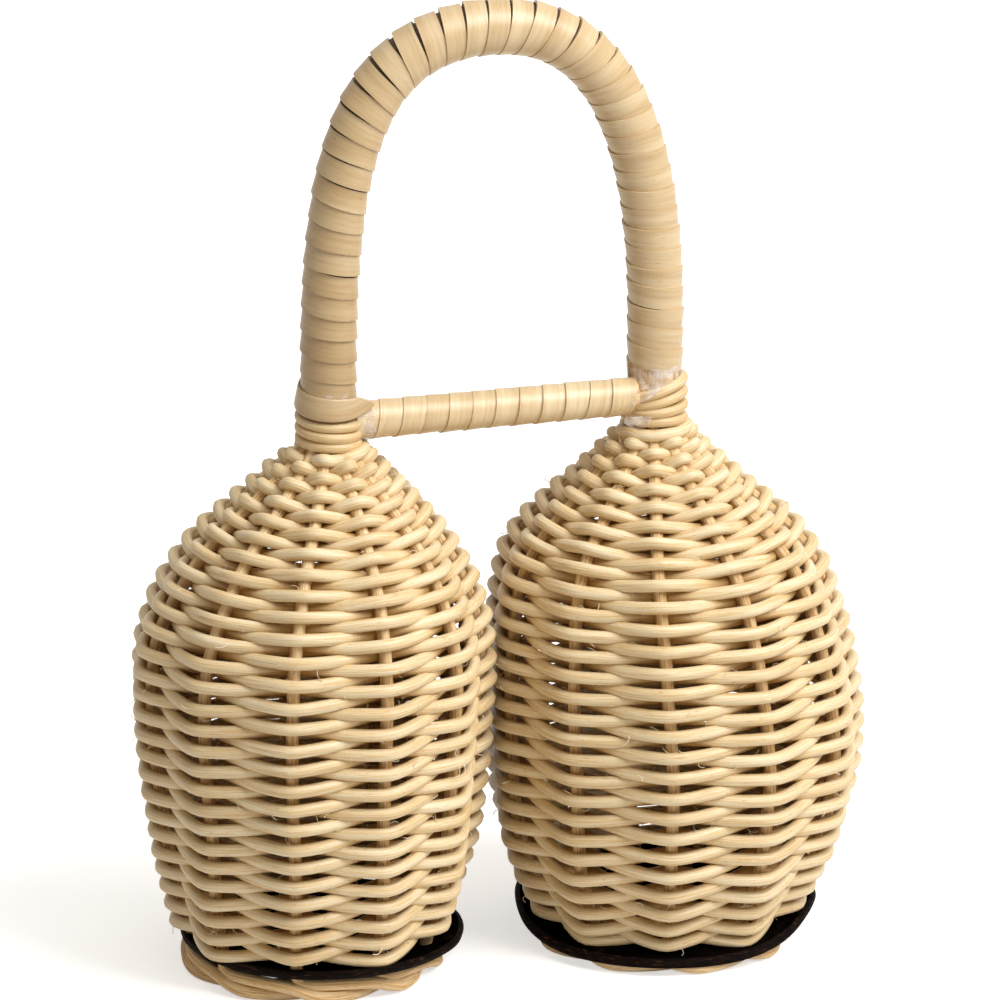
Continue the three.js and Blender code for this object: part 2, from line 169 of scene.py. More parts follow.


# %% [markdown]
# A tree grows on an empty host object, and the result is kept as a plain mesh, because an export can't
# read a live node tree. Many trees follow a line, which a helper curve hands to them. Every finished
# piece is then tied to the body that it moves with and to the solids that it stands for.

# %% Helpers for pieces
def grow(name, tree, inputs):
    """Runs a geometry tree on an empty host and keeps the result as a plain mesh object."""
    host = bpy.data.objects.new(name, bpy.data.meshes.new(name))
    scene.collection.objects.link(host)
    modifier = host.modifiers.new(tree.name, "NODES")
    modifier.node_group = tree
    for item in tree.interface.items_tree:
        if item.item_type == "SOCKET" and item.in_out == "INPUT":
            modifier[item.identifier] = inputs[item.name]
    keep_mesh(host)
    return host


def keep_mesh(piece):
    """Puts the piece as its modifiers leave it in the place of its mesh."""
    depsgraph = bpy.context.evaluated_depsgraph_get()
    mesh = bpy.data.meshes.new_from_object(piece.evaluated_get(depsgraph))
    mesh.name = piece.name
    piece.modifiers.clear()
    piece.data = mesh
    print(piece.name, "has", len(mesh.polygons), "faces")


def path_object(name, lines):
    """A helper curve with one poly spline for each row of points, given in millimetres."""
    curve = bpy.data.curves.new(name, "CURVE")
    curve.dimensions = "3D"
    for line in lines:
        spline = curve.splines.new("POLY")
        spline.points.add(len(line) - 1)
        for point, place in zip(spline.points, line):
            point.co = (*(MM * value for value in place), 1)
    path = bpy.data.objects.new(name, curve)
    scene.collection.objects.link(path)
    return path


def grow_along(name, tree, lines, inputs):
    """Grows a tree along some lines of points, and deletes the helper curve."""
    path = path_object(name + "_path", lines)
    piece = grow(name, tree, {"Path": path, **inputs})
    bpy.data.objects.remove(path)
    return piece


def settle(piece, slot, *nodes):
    """The piece moves with the instrument and stands for these solids. The slot is not used."""
    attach(piece, BODY)
    if nodes:
        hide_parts(*nodes)


# %% [markdown]
# ## Cane finishes
# Round cane, split strip and stakes are all the same plant, so one shader group makes the long fibres
# for all of them. It reads two attributes that each piece carries: how far along the strand a point
# lies, and where round its section. Fibres drawn on those never slide, whichever way the strand turns.

# %% Fibre group
def noise_at(vector, scale, detail=2.0):
    inputs = {"Vector": vector, "Scale": scale, "Detail": detail}
    return add_node(tree_of(vector), "ShaderNodeTexNoise", inputs).outputs[0]


fibres, given = new_tree(
    "ShaderNodeTree",
    "Cane fibres",
    {"Along": "Float", "Around": "Vector", "Fibres per Metre": "Float"},
    {"Streaks": "Float", "Tone": "Float", "Flecks": "Float"},
)


def stretched(across, along_rate):
    """Noise on the section's place and the length along the strand, drawn out along the strand."""
    section = vector_calc("SCALE", given["Around"], Scale=given["Fibres per Metre"])
    section = vector_calc("SCALE", section, Scale=across)
    length = add_node(fibres, "ShaderNodeCombineXYZ", {"Z": given["Along"] * along_rate}).outputs[0]
    return noise_at(vector_calc("ADD", section, length), 1.0, 2.5)


add_node(
    fibres,
    "NodeGroupOutput",
    {"Streaks": stretched(1.0, 110.0), "Tone": stretched(0.15, 14.0), "Flecks": stretched(1.5, 420.0)},
)
print("shader group:", fibres.name, "with", len(fibres.nodes), "nodes")


# %% [markdown]
# Colours are written as they look on a screen and turned into linear light. A few helpers make what
# every finish here is put together from: a ramp of colours, one colour darkened by another, and relief.

# %% Colours and relief
WHITE = (1, 1, 1, 1)


def grey(value):
    return (value, value, value, 1)


def srgb(red, green, blue):
    """A colour given as 0 to 255 screen values, as linear light."""
    values = [part / 255 for part in (red, green, blue)]
    return (*(v / 12.92 if v <= 0.04045 else ((v + 0.055) / 1.055) ** 2.4 for v in values), 1.0)


def ramp(value, stops):
    """A colour ramp through (place, colour) stops."""
    node = add_node(tree_of(value), "ShaderNodeValToRGB", {"Fac": value})
    while len(node.color_ramp.elements) < len(stops):
        node.color_ramp.elements.new(0.5)
    for element, (place, colour) in zip(node.color_ramp.elements, stops):
        element.position = place
        element.color = colour
    return node.outputs["Color"]


def multiplied(first, second):
    """One colour darkened by another."""
    node = add_node(tree_of(first), "ShaderNodeMix", {0: 1.0}, data_type="RGBA", blend_type="MULTIPLY")
    fill_in(node, {6: first, 7: second})
    return node.outputs[2]


def new_material(name):
    material = bpy.data.materials.new(name)
    material.use_nodes = True
    return material, material.node_tree, material.node_tree.nodes["Principled BSDF"]


def bump(height, strength, depth):
    """A normal with relief, for a height that changes over the surface."""
    inputs = {"Height": height, "Strength": strength, "Distance": depth * MM}
    return add_node(tree_of(height), "ShaderNodeBump", inputs).outputs[0]


# %% [markdown]
# Each cane material maps the group's slow tone to a run of colours and lets the fine streaks darken it
# and raise a little relief. A third attribute says how much painted shade a strand carries. The stakes
# are coarser than the weavers and more golden, and the flat strip of the handle is the outer skin of the
# cane, so it is smoother and has a slight gloss. The pole inside it is painted dark, as shade in the strip's
# gaps.

# %% Cane materials
CANE_GLOSS = 0.65
STREAK_DEPTH = 0.25  # millimetres of relief


def cane_material(name, tones, fibre_count, streak, fleck, roughness, relief, tinge=WHITE):
    """Cane of a few tones, with tints for its streaks, its flecks and its painted shade."""
    material, tree, shader = new_material(name)

    def stored(attribute, output):
        return add_node(tree, "ShaderNodeAttribute", attribute_name=attribute).outputs[output]

    grain = add_node(
        tree,
        "ShaderNodeGroup",
        {
            "Along": stored("along", "Fac"), "Around": stored("around", "Vector"),
            "Fibres per Metre": fibre_count,
        },
        node_tree=fibres,
    ).outputs
    colour = ramp(grain["Tone"], tones)
    for value, stops in (
        (grain["Streaks"], [(0.36, streak), (0.54, WHITE)]),
        (grain["Flecks"], [(0.66, WHITE), (0.72, fleck)]),
        # painted shade: darkens the cane as far as the stored amount says
        (stored("tinge", "Fac"), [(0.0, WHITE), (1.0, tinge)]),
    ):
        colour = multiplied(colour, ramp(value, stops))
    finish = {
        "Base Color": colour, "Roughness": roughness, "Specular IOR Level": CANE_GLOSS,
        "Normal": bump(grain["Streaks"], relief, STREAK_DEPTH),
    }
    fill_in(shader, finish)
    return material


weaver_cane = cane_material(
    "weaver_cane",
    [(0.3, srgb(213, 188, 143)), (0.5, srgb(223, 203, 164)), (0.7, srgb(231, 215, 182))],
    fibre_count=3600, streak=(0.87, 0.74, 0.53, 1), fleck=(0.6, 0.44, 0.27, 1), roughness=0.5, relief=0.5,
    # its painted shade: the warm dark tint of a weaver where it swings behind a stake
    tinge=(0.8, 0.6, 0.31, 1),
)
stake_cane = cane_material(
    "stake_cane",
    [(0.3, srgb(220, 184, 130)), (0.5, srgb(231, 202, 154)), (0.7, srgb(238, 215, 172))],
    fibre_count=3000, streak=(0.7, 0.54, 0.33, 1), fleck=(0.5, 0.36, 0.2, 1), roughness=0.65, relief=0.7,
)
strip_cane = cane_material(
    "strip_cane",
    [(0.3, srgb(198, 171, 128)), (0.5, srgb(212, 188, 147)), (0.7, srgb(223, 204, 168))],
    fibre_count=1500, streak=(0.93, 0.88, 0.8, 1), fleck=(0.86, 0.76, 0.6, 1), roughness=0.4, relief=0.2,
    # its painted shade, for the handle's left leg and the lashing, where less light falls
    tinge=(0.68, 0.62, 0.53, 1),
)
# painted dark, as painted shade for the gaps between the turns of the handle's strip
pole_cane = cane_material(
    "pole_cane",
    [(0.3, srgb(54, 34, 17)), (0.5, srgb(76, 51, 27)), (0.7, srgb(100, 71, 40))],
    fibre_count=1500, streak=(0.6, 0.5, 0.4, 1), fleck=(0.5, 0.4, 0.3, 1), roughness=0.7, relief=0.5,
)
print("cane materials:", weaver_cane.name, stake_cane.name, strip_cane.name, pole_cane.name)


# %% [markdown]
# ## The shape of the baskets
# Each basket is turned about an axis that sways a little from foot to belly to neck. Its outer face is
# a smooth curve through a few radii, heights and places of the axis, close to the ones that the solids
# have. Everything on the basket is placed by a turn about the axis, a height and a depth below that
# face. Nothing made by hand is even, so the foot has its stakes spread and its front hanging a little.

# %% Basket outlines
WEAVER = 3.1  # diameters
STAKE = 3.1
STAKES = 11  # odd, so that one unbroken weaver changes sides every round
THROW = 0.95 * (WEAVER + STAKE) / 2  # how far the weaver swings to each side of the stakes
STAKE_DEPTH = WEAVER / 2 + THROW
STAKE_STEP = 2 * math.pi / STAKES
BASKETS = {
    "left": {
        "first_stake": 19.6,  # degrees
        "start_stake": 1,  # where the weaver begins
        "strokes": 574,  # how many stakes it passes
        "flat_rounds": 0.36,  # how many rounds it makes before it starts to climb
        "weave_foot": 11.25,  # height of the lowest round
        "weave_top": 0.995,  # share of the outline where the last round ends
        "weave_sag": 0.0,  # how far the lowest round follows the gourd's sag
        "crowding": 0.2,  # how far the stakes stand apart at the front of the foot
        "sag": -0.25,  # how far the front of the gourd's rim hangs down
        "disc_shift": 0.0,  # how far the gourd lies off its solid
        "disc_radius": 34.3,
        "disc_lift": 2.5,  # how far the gourd's rim stands above its middle
        "rim_seed": 7.0,  # for the unevenness of that rim
        "tail_bend": 0.0,  # how far the front of the foot border stands out
        "outline": [  # radius, height and X of the axis
            (33.6, 7.5, -46.3), (40.4, 32, -45.7), (44.0, 61, -46.2), (43.6, 86, -45.6), (34.6, 106, -43.9),
            (21.0, 120.7, -42.2), (15.0, 126.3, -41.7), (11.6, 129.6, -41.4), (9.2, 132.8, -41.4),
        ],
    },
    "right": {
        "first_stake": 23.9,
        "start_stake": 3,
        "strokes": 590,
        "flat_rounds": 0.9,
        "weave_foot": 9.2,
        "weave_top": 0.972,
        "weave_sag": 1.7,
        "crowding": 0.08,
        "sag": 2.6,
        "disc_shift": 0.9,
        "disc_radius": 37.0,
        "disc_lift": -0.3,
        "rim_seed": 3.0,
        "tail_bend": 3.4,
        "outline": [
            (34.9, 7.5, 43.7), (43.6, 27, 44.4), (47.2, 51, 45.0), (45.2, 78, 43.1), (38.0, 101, 40.8),
            (20.0, 119.2, 39.8), (13.3, 125.5, 39.6), (10.2, 129.5, 39.6), (9.2, 133.2, 39.6),
        ],
    },
}
FRONT_TURN = math.radians(-106)  # towards the viewer
SAG_TURN = math.radians(-114)  # where a bent gourd hangs lowest
FOOT_FADE = (8, 45)  # heights between which the foot's unevenness dies away
print("baskets:", ", ".join(BASKETS), "with", STAKES, "stakes each")


# %% [markdown]
# The outline is drawn out to a smooth line, which can be moved inwards to where a strand lies. Where a
# solid already has a place, such as a neck or a gourd, that place is read from the frame.

# %% Places on a basket
OUTLINE_STEPS = 12  # points between two given ones


def middle(node):
    """Centre of a solid's box, in millimetres."""
    low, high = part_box(node)
    return [(a + b) / 2 / MM for a, b in zip(low, high)]


def spline(points, steps):
    """Points on a Catmull-Rom curve through the given ones."""
    rows = np.array([points[0], *points, points[-1]], float)
    share = np.linspace(0, 1, steps, endpoint=False)[:, None]
    runs = []
    for a, b, c, d in zip(rows, rows[1:], rows[2:], rows[3:]):
        bend = a - 2.5 * b + 2 * c - d / 2
        twist = 1.5 * (b - c) + (d - a) / 2
        runs.append(b + share * ((c - a) / 2 + share * (bend + share * twist)))
    return np.vstack([*runs, rows[-1:]])


def meridian(basket, depth):
    """Radius, height and X of the axis up the basket, at a depth below its outer face."""
    line = spline(basket["outline"], OUTLINE_STEPS)
    along = np.gradient(line[:, :2], axis=0)
    along /= np.linalg.norm(along, axis=1)[:, None]
    inward = np.column_stack([-along[:, 1], along[:, 0], 0 * along[:, 0]])
    return line + depth * inward


def on_basket(basket, turn, radius, z):
    """A place on the basket, with the stakes spread apart at the front of the foot."""
    outline = np.array(basket["outline"])
    axis_x = np.interp(z, outline[:, 1], outline[:, 2])
    fade = min(1, max(0, (FOOT_FADE[1] - z) / (FOOT_FADE[1] - FOOT_FADE[0])))
    turn += basket["crowding"] * fade * fade * (3 - 2 * fade) * math.sin(turn - FRONT_TURN)
    return (axis_x + radius * math.cos(turn), radius * math.sin(turn), z)


for side, basket in BASKETS.items():
    basket["disc_x"] = middle(f"{side}_gourd_base")[0] + basket["disc_shift"]
    basket["neck_x"] = middle(f"{side}_clear_tape")[0]
    basket["turn"] = math.radians(basket["first_stake"])
    print(side, "gourd at", round(basket["disc_x"], 1), "and neck at", round(basket["neck_x"], 1))


# %% [markdown]
# ## The woven wall
# On the real basket one long round cane runs round and round, in front of one stake and behind the
# next. It could be modelled strand by strand, but it follows a rule, so a node tree makes it: points on
# one line are numbered, each number gives a turn and a height, and a wave that changes side at every
# stake moves it out or in. With an odd number of stakes each round then falls between its neighbours.
# The cane starts flat on the gourd before it climbs, and its last round closes about the neck.

# %% Weave tree
SHARPNESS = 0.975  # how tightly the weaver bends round a stake
ZIGZAG = 0.15  # how far it drops where it comes forward, as a share of its swing
CLOSED = 0.75  # where the closing rounds lie, as a share of the swing outwards
CLOSING_END = 0.4  # share of the closing rounds where the swing has died away
SLACK, SLACK_RATE = 0.1, 0.7  # how much the swing varies, and how fast from stake to stake
DRIFT_RATE, TIDE_RATE, TIDE = 0.9, 0.06, 0.7  # quick and slow wobble in height, and the slow one's share
PAINTED_SHADE_SWING = (0.2, -1.0)  # shares of the swing between which painted shade darkens the weaver on its way behind a stake
weave, given = new_tree(
    "GeometryNodeTree",
    "Woven wall",
    {
        "Meridian": "Object", "Rounds": "Float", "Stakes": "Float", "Steps per Stake": "Float",
        "First Turn": "Float", "Start": "Float", "End": "Float", "Throw": "Float", "Cane Radius": "Float",
        "Wobble": "Float", "Crowding": "Float", "Sag": "Float", "Flat Rounds": "Float",
        "Closing Rounds": "Float", "Seed": "Float", "Material": "Material",
    },
    {"Geometry": "Geometry"},
)


def numbered_line(tree, count):
    """A straight line of so many points, and each point's share of the way along it."""
    line = add_node(tree, "GeometryNodeCurvePrimitiveLine").outputs[0]
    points = add_node(tree, "GeometryNodeResampleCurve", {"Curve": line, "Count": count}).outputs[0]
    return points, Number(add_node(tree, "GeometryNodeSplineParameter").outputs["Factor"])


def sample_path(path, share):
    """Position and tangent at a share of the way along a helper curve."""
    tree = tree_of(path)
    guide = add_node(tree, "GeometryNodeObjectInfo", {"Object": path}).outputs["Geometry"]
    sample = add_node(tree, "GeometryNodeSampleCurve", {"Curves": guide, "Factor": share}, mode="FACTOR")
    return sample.outputs["Position"], sample.outputs["Tangent"]


def mark(geometry, name, value):
    """The geometry with a number stored on its points under a name that a material can read."""
    inputs = {"Geometry": geometry, "Name": name, "Value": value}
    return add_node(tree_of(geometry), "GeometryNodeStoreNamedAttribute", inputs).outputs[0]


strokes = given["Rounds"] * given["Stakes"]
strand, share = numbered_line(weave, strokes * given["Steps per Stake"] + 1.0)
stroke = share * strokes
turn = given["First Turn"] + stroke * STAKE_STEP
climbed = calc("MAXIMUM", share * given["Rounds"] - given["Flat Rounds"], 0.0)
climbed = climbed / (given["Rounds"] - given["Flat Rounds"])
height = given["Start"] + climbed * (given["End"] - given["Start"])
position, tangent = sample_path(given["Meridian"], height)
radius, axis_x, level = parts(position)
lean_out, _, lean_up = parts(tangent)

wave = calc("ARCSINE", calc("COSINE", stroke * math.pi) * SHARPNESS) / -math.asin(SHARPNESS)
left_over = (1.0 - share) * given["Rounds"]
open_weave = eased(left_over, given["Closing Rounds"] * CLOSING_END, given["Closing Rounds"])
wave = open_weave * (wave - CLOSED) + CLOSED
tension = 1.0 + wander(stroke * SLACK_RATE, given["Seed"] + 2.0) * SLACK
swing = wave * tension * given["Throw"]

foot_share = eased(level, FOOT_FADE[1] * MM, FOOT_FADE[0] * MM)
turn = turn + given["Crowding"] * foot_share * calc("SINE", turn - FRONT_TURN)
facing = calc("MAXIMUM", calc("COSINE", turn - SAG_TURN), 0.0)
aside = calc("POWER", 1.0 - facing * facing, 3.0)
hang = given["Sag"] * foot_share * (1.0 - aside * 2.0)
drift = wander(stroke * DRIFT_RATE, given["Seed"])
drift = drift + wander(stroke * TIDE_RATE, given["Seed"] + 6.0) * TIDE
radius = radius + swing * lean_up
level = level - swing * (lean_out + ZIGZAG) + drift * given["Wobble"] - hang
here = add_node(
    weave,
    "ShaderNodeCombineXYZ",
    {"X": axis_x + radius * calc("COSINE", turn), "Y": radius * calc("SINE", turn), "Z": level},
).outputs[0]
# Painted shade: the weaver is darkened and warmed the further it swings behind a stake.
with_painted_shade = mark(strand, "tinge", eased(wave, *PAINTED_SHADE_SWING))
woven = add_node(weave, "GeometryNodeSetPosition", {"Geometry": with_painted_shade, "Position": here}).outputs[0]
print("tree:", weave.name, "with", len(weave.nodes), "nodes")


# %% [markdown]
# A second, smaller tree clothes any path in round cane: it stores the length along the path and the
# place round the section for the fibres, shakes the path a little, and sweeps a circle. The woven wall
# ends in the same closing nodes, with a thickness that varies.

# %% Cane tree
THICKNESS, THICKNESS_RATE = 0.05, 0.35  # how much the weaver's thickness varies, and how fast
SHAKE_RATE = 60.0  # how fast a laid cane wobbles, per metre
WEAVER_SIDES, CANE_SIDES = 10, 12  # of their round sections


def dress(geometry, material):
    """The last nodes of every tree: real faces, their material and the way out."""
    tree = tree_of(geometry)
    real = add_node(tree, "GeometryNodeRealizeInstances", {"Geometry": geometry}).outputs[0]
    dressed = add_node(tree, "GeometryNodeSetMaterial", {"Geometry": real, "Material": material}).outputs[0]
    add_node(tree, "NodeGroupOutput", {0: dressed})


def sweep(curves, profile, material, thickness=None):
    """Sweeps a section along curves, with the attributes that the finish reads."""
    tree = tree_of(curves)
    line = mark(curves, "along", add_node(tree, "GeometryNodeSplineParameter").outputs["Length"])
    around = add_node(tree, "GeometryNodeInputPosition").outputs[0]
    section = add_node(
        tree,
        "GeometryNodeStoreNamedAttribute",
        {"Geometry": profile, "Name": "around", "Value": around},
        data_type="FLOAT_VECTOR",
    ).outputs[0]
    if thickness is not None:
        line = add_node(tree, "GeometryNodeSetCurveRadius", {"Curve": line, "Radius": thickness}).outputs[0]
    inputs = {"Curve": line, "Profile Curve": section, "Fill Caps": True}
    mesh = add_node(tree, "GeometryNodeCurveToMesh", inputs)
    if thickness is not None and "Scale" in mesh.inputs:
        fill_in(mesh, {"Scale": thickness})
    dress(add_node(tree, "GeometryNodeSetShadeSmooth", {"Geometry": mesh.outputs[0]}).outputs[0], material)


def round_section(radius, sides):
    inputs = {"Resolution": sides, "Radius": radius}
    return add_node(tree_of(radius), "GeometryNodeCurvePrimitiveCircle", inputs).outputs[0]


uneven = 1.0 + wander(stroke * THICKNESS_RATE, 5.0) * THICKNESS
sweep(woven, round_section(given["Cane Radius"], WEAVER_SIDES), given["Material"], uneven)

cane, given = new_tree(
    "GeometryNodeTree",
    "Cane along a path",
    {
        "Path": "Object", "Step": "Float", "Cane Radius": "Float", "Wobble": "Float", "Seed": "Float",
        "Tinge": "Float", "Material": "Material",
    },
    {"Geometry": "Geometry"},
)
guide = add_node(cane, "GeometryNodeObjectInfo", {"Object": given["Path"]}).outputs["Geometry"]
strand = add_node(
    cane, "GeometryNodeResampleCurve", {"Curve": guide, "Length": given["Step"]}, mode="LENGTH"
).outputs[0]
far = Number(add_node(cane, "GeometryNodeSplineParameter").outputs["Length"])
shake = add_node(
    cane,
    "ShaderNodeCombineXYZ",
    {axis: wander(far * SHAKE_RATE, given["Seed"] + float(number)) for number, axis in enumerate("XYZ")},
).outputs[0]
shake = vector_calc("SCALE", shake, Scale=given["Wobble"])
moved = add_node(cane, "GeometryNodeSetPosition", {"Geometry": strand, "Offset": shake}).outputs[0]
# an even amount of painted shade along the whole cane
with_painted_shade = mark(moved, "tinge", given["Tinge"])
sweep(with_painted_shade, round_section(given["Cane Radius"], CANE_SIDES), given["Material"])


def lay_cane(name, lines, material, radius, step, wobble=0.0, seed=1.0, tinge=0.0):
    """One piece of round cane along each of some lines, with its sizes in millimetres."""
    inputs = {
        "Step": step * MM, "Cane Radius": radius * MM, "Wobble": wobble * MM, "Seed": seed, "Tinge": tinge,
        "Material": material,
    }
    return grow_along(name, cane, lines, inputs)


print("tree:", cane.name, "with", len(cane.nodes), "nodes")


# %% [markdown]
# With the tree in place, each wall needs only its own values. The meridian that the weaver climbs is
# the outline moved in to the middle of the stakes, and the start is given as a share of its length.

# %% Weave the two walls
def share_at_height(line, z):
    """How far along a line, as a share of its length, it first reaches a height."""
    steps = np.linalg.norm(np.diff(line, axis=0), axis=1)
    far = np.concatenate([[0], np.cumsum(steps)])
    return float(np.interp(z, line[:, 1], far) / far[-1])


for seed, (side, basket) in enumerate(BASKETS.items()):
    line = meridian(basket, STAKE_DEPTH)
    guide = path_object(f"{side}_meridian", [line[:, (0, 2, 1)]])
    wall = grow(
        f"{side}_weave",
        weave,
        {
            "Meridian": guide, "Rounds": basket["strokes"] / STAKES, "Stakes": float(STAKES),
            "Steps per Stake": 12.0, "First Turn": basket["turn"] + basket["start_stake"] * STAKE_STEP,
            "Start": share_at_height(line, basket["weave_foot"]), "End": basket["weave_top"],
            "Throw": THROW * MM, "Cane Radius": WEAVER / 2 * MM, "Wobble": 0.3 * MM,
            "Crowding": basket["crowding"], "Sag": basket["weave_sag"] * MM,
            "Flat Rounds": basket["flat_rounds"], "Closing Rounds": 0.9, "Seed": seed + 0.4,
            "Material": weaver_cane,
        },
    )
    bpy.data.objects.remove(guide)
    settle(wall, "weaver_cane", f"{side}_woven_wall")


# %% [markdown]
# ## Stakes and foot border
# The stakes are the uprights. They stand close together in the neck, spread down the wall behind and in
# front of the weaver, pass through holes in the gourd, and their tails are laid over one another below
# it, which makes the border that the basket stands on. Each is one path, clothed by the cane tree.

# %% Stakes
NECK_RADIUS = 4.88
STAKE_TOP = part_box("left_stake_01")[1][2] / MM
GOURD_LOW, GOURD_TOP = (corner[2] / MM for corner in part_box("left_gourd_base"))
TAIL_HEIGHT = STAKE / 2 + 0.1  # centre of a tail where it stands on the floor
STAKE_STEPS = 6  # points between two of a stake's places
# A tail's route: stake steps round, stake diameters out, share of the way down
TAIL_ROUTE = [
    (0.0, 0.0, 0.0), (0.03, 0.04, 0.17), (0.14, 0.12, 0.3), (0.4, 0.2, 0.31), (0.7, 0.3, 0.34),
    (0.95, 0.42, 0.46), (1.15, 0.45, 0.75), (1.35, 0.35, 0.95), (1.6, 0.0, 1), (1.85, -0.5, 1),
    (2.1, -1.0, 0.97), (2.35, -1.4, 0.96), (2.65, -1.75, 0.85), (2.95, -1.95, 0.65),
]


def off_front(turn):
    """0 at the front of the foot, rising to 1 at its sides and all round its back."""
    return (1 - max(0, math.cos(turn - SAG_TURN)) ** 2) ** 3


def disc_level(basket, turn, share):
    """How far the gourd's disc lies above its solid, at a turn and a share of its radius."""
    return share**4 * (basket["disc_lift"] - basket["sag"] * (1 - 2 * off_front(turn)))


def stake_path(basket, number):
    """From the neck down the wall, through the gourd and along the border."""
    turn = basket["turn"] + number * STAKE_STEP
    wall = meridian(basket, STAKE_DEPTH)
    hole = wall[0][0]
    neck = [(NECK_RADIUS, STAKE_TOP), (NECK_RADIUS, (STAKE_TOP + wall[-1][1]) / 2)]
    upper = [on_basket(basket, turn, r, z) for r, z in [*neck, *wall[::-4, :2]]]
    tail = []
    for steps, out, down in TAIL_ROUTE:
        along = turn + steps * STAKE_STEP
        under = GOURD_LOW + disc_level(basket, along, hole / basket["disc_radius"])
        bend = basket["tail_bend"] * (1 - 2 * off_front(along)) * max(0, 2 * down - 1)
        reach = hole + out * STAKE + bend
        tail.append(on_basket(basket, along, reach, under + down * (TAIL_HEIGHT - under)))
    return spline([*upper, *tail], STAKE_STEPS)


for side, basket in BASKETS.items():
    lines = [stake_path(basket, number) for number in range(STAKES)]
    stakes = lay_cane(f"{side}_stakes", lines, stake_cane, STAKE / 2, step=1.6, wobble=0.12, seed=3.0)
    settle(stakes, "stake_cane", *(f"{side}_stake_{number + 1:02d}" for number in range(STAKES)))


# %% [markdown]
# ## Neck bindings
# A few turns of the same round cane hold the stakes together. The path is a screw line, a little
# uneven. On the left neck its turns are nearly level. On the right neck they lie close under the end of
# the crossbar and fan out on the other side.

# %% Bindings
BINDING_RADIUS = 6.9
BINDING_CANE = 2.6
BINDING_STEPS = 36  # points in a turn
BINDING_START = 1.2  # turn of the lowest end
# Where the lowest turn lies, how many turns there are, how far each rises on the left and the right, and how
# much painted shade the binding carries
BINDINGS = {
    "left": {"start": 130.5, "turns": 2.94, "pitch": (2.65, 2.45), "tinge": 0.25},
    "right": {"start": 130.2, "turns": 3.94, "pitch": (1.8, 3.3), "tinge": 0.3},
}
for side, basket in BASKETS.items():
    winding = BINDINGS[side]
    left_pitch, right_pitch = winding["pitch"]
    line = []
    for step in range(int(winding["turns"] * BINDING_STEPS) + 1):
        turn = -2 * math.pi * step / BINDING_STEPS + BINDING_START
        rightness = (1 + math.cos(turn)) / 2
        pitch = left_pitch + (right_pitch - left_pitch) * rightness
        crowded = 0.5 * max(0, BINDING_CANE - pitch)
        reach = BINDING_RADIUS + crowded * step / BINDING_STEPS / winding["turns"]
        x, y = reach * math.cos(turn), reach * math.sin(turn)
        line.append((basket["neck_x"] + x, y, winding["start"] + pitch * step / BINDING_STEPS))
    binding = lay_cane(
        f"{side}_binding", [line], weaver_cane, BINDING_CANE / 2,
        step=1.0, wobble=0.2, seed=8.0, tinge=winding["tinge"],
    )
    settle(binding, "weaver_cane", f"{side}_neck_binding")


# %% [markdown]
# ## Wound strips
# The handle and the crossbar are wrapped in flat strip, each turn lapping the last. A strip is a path
# too, wound about another path, so its tree samples the core's centre line, steps round it, and turns
# the flat section to face outwards. A little looseness in the pitch opens gaps on the outer bend, and
# each turn is tipped, so that its edge stands up over the turn before it.

# %% Strip tree
LIFT, LIFT_RATE = 0.1, 1.1  # how far the strip stands off its core here and there, and changes in a turn
TIP, TIP_RATE = 0.35, 1.3  # how much its tilt varies, and how fast
FADE_END = 0.55  # share of the way along where the strip's painted shade has faded to its far amount
TIP_FADE = 0.12  # share of the tilt that is lost by then
FRONT = (0, -1, 0)
strip, given = new_tree(
    "GeometryNodeTree",
    "Wound strip",
    {
        "Path": "Object", "Turns": "Float", "Steps per Turn": "Float", "Core Radius": "Float",
        "Width": "Float", "Thickness": "Float", "Start": "Float", "End": "Float", "Loose": "Float",
        "Surge": "Float", "Flare": "Float", "Seed": "Float", "Tinge": "Float", "Far Tinge": "Float",
        "Material": "Material",
    },
    {"Geometry": "Geometry"},
)
ribbon, share = numbered_line(strip, given["Turns"] * given["Steps per Turn"] + 1.0)
winding = share * given["Turns"]
slack = wander(winding, given["Seed"]) * given["Loose"] / given["Turns"]
surge = (1.0 - calc("COSINE", share * (2 * math.pi))) * given["Surge"]
reach = given["Start"] + (share + slack + surge) * (given["End"] - given["Start"])
position, tangent = sample_path(given["Path"], reach)
turn = winding * (2 * math.pi)
sideways = vector_calc("CROSS_PRODUCT", tangent, FRONT)
outward = vector_calc(
    "ADD",
    vector_calc("SCALE", sideways, Scale=calc("COSINE", turn)),
    vector_calc("SCALE", FRONT, Scale=calc("SINE", turn)),
)
lift = wander(winding * LIFT_RATE, given["Seed"] + 4.0) * (LIFT * MM)
stand = given["Core Radius"] + (lift + given["Thickness"] * 0.5)
here = vector_calc("ADD", position, vector_calc("SCALE", outward, Scale=stand))
# Painted shade along the strip, from the amount at its start to the far amount.
fading = eased(share, 0.0, FADE_END)
with_painted_shade = mark(ribbon, "tinge", given["Tinge"] + fading * (given["Far Tinge"] - given["Tinge"]))
wound = add_node(strip, "GeometryNodeSetPosition", {"Geometry": with_painted_shade, "Position": here}).outputs[0]
tip = 1.0 - fading * TIP_FADE + wander(winding * TIP_RATE, given["Seed"] + 9.0) * TIP
tilt = vector_calc("SCALE", tangent, Scale=tip * given["Flare"])
faced = add_node(
    strip,
    "GeometryNodeSetCurveNormal",
    {"Curve": wound, "Normal": vector_calc("ADD", outward, tilt)},
    mode="FREE",
).outputs[0]
flat = add_node(strip, "GeometryNodeCurvePrimitiveQuadrilateral", {0: given["Thickness"], 1: given["Width"]})
fine = add_node(strip, "GeometryNodeSubdivideCurve", {"Curve": flat.outputs[0], "Cuts": 2}).outputs[0]
sweep(faced, fine, given["Material"])
print("tree:", strip.name, "with", len(strip.nodes), "nodes")
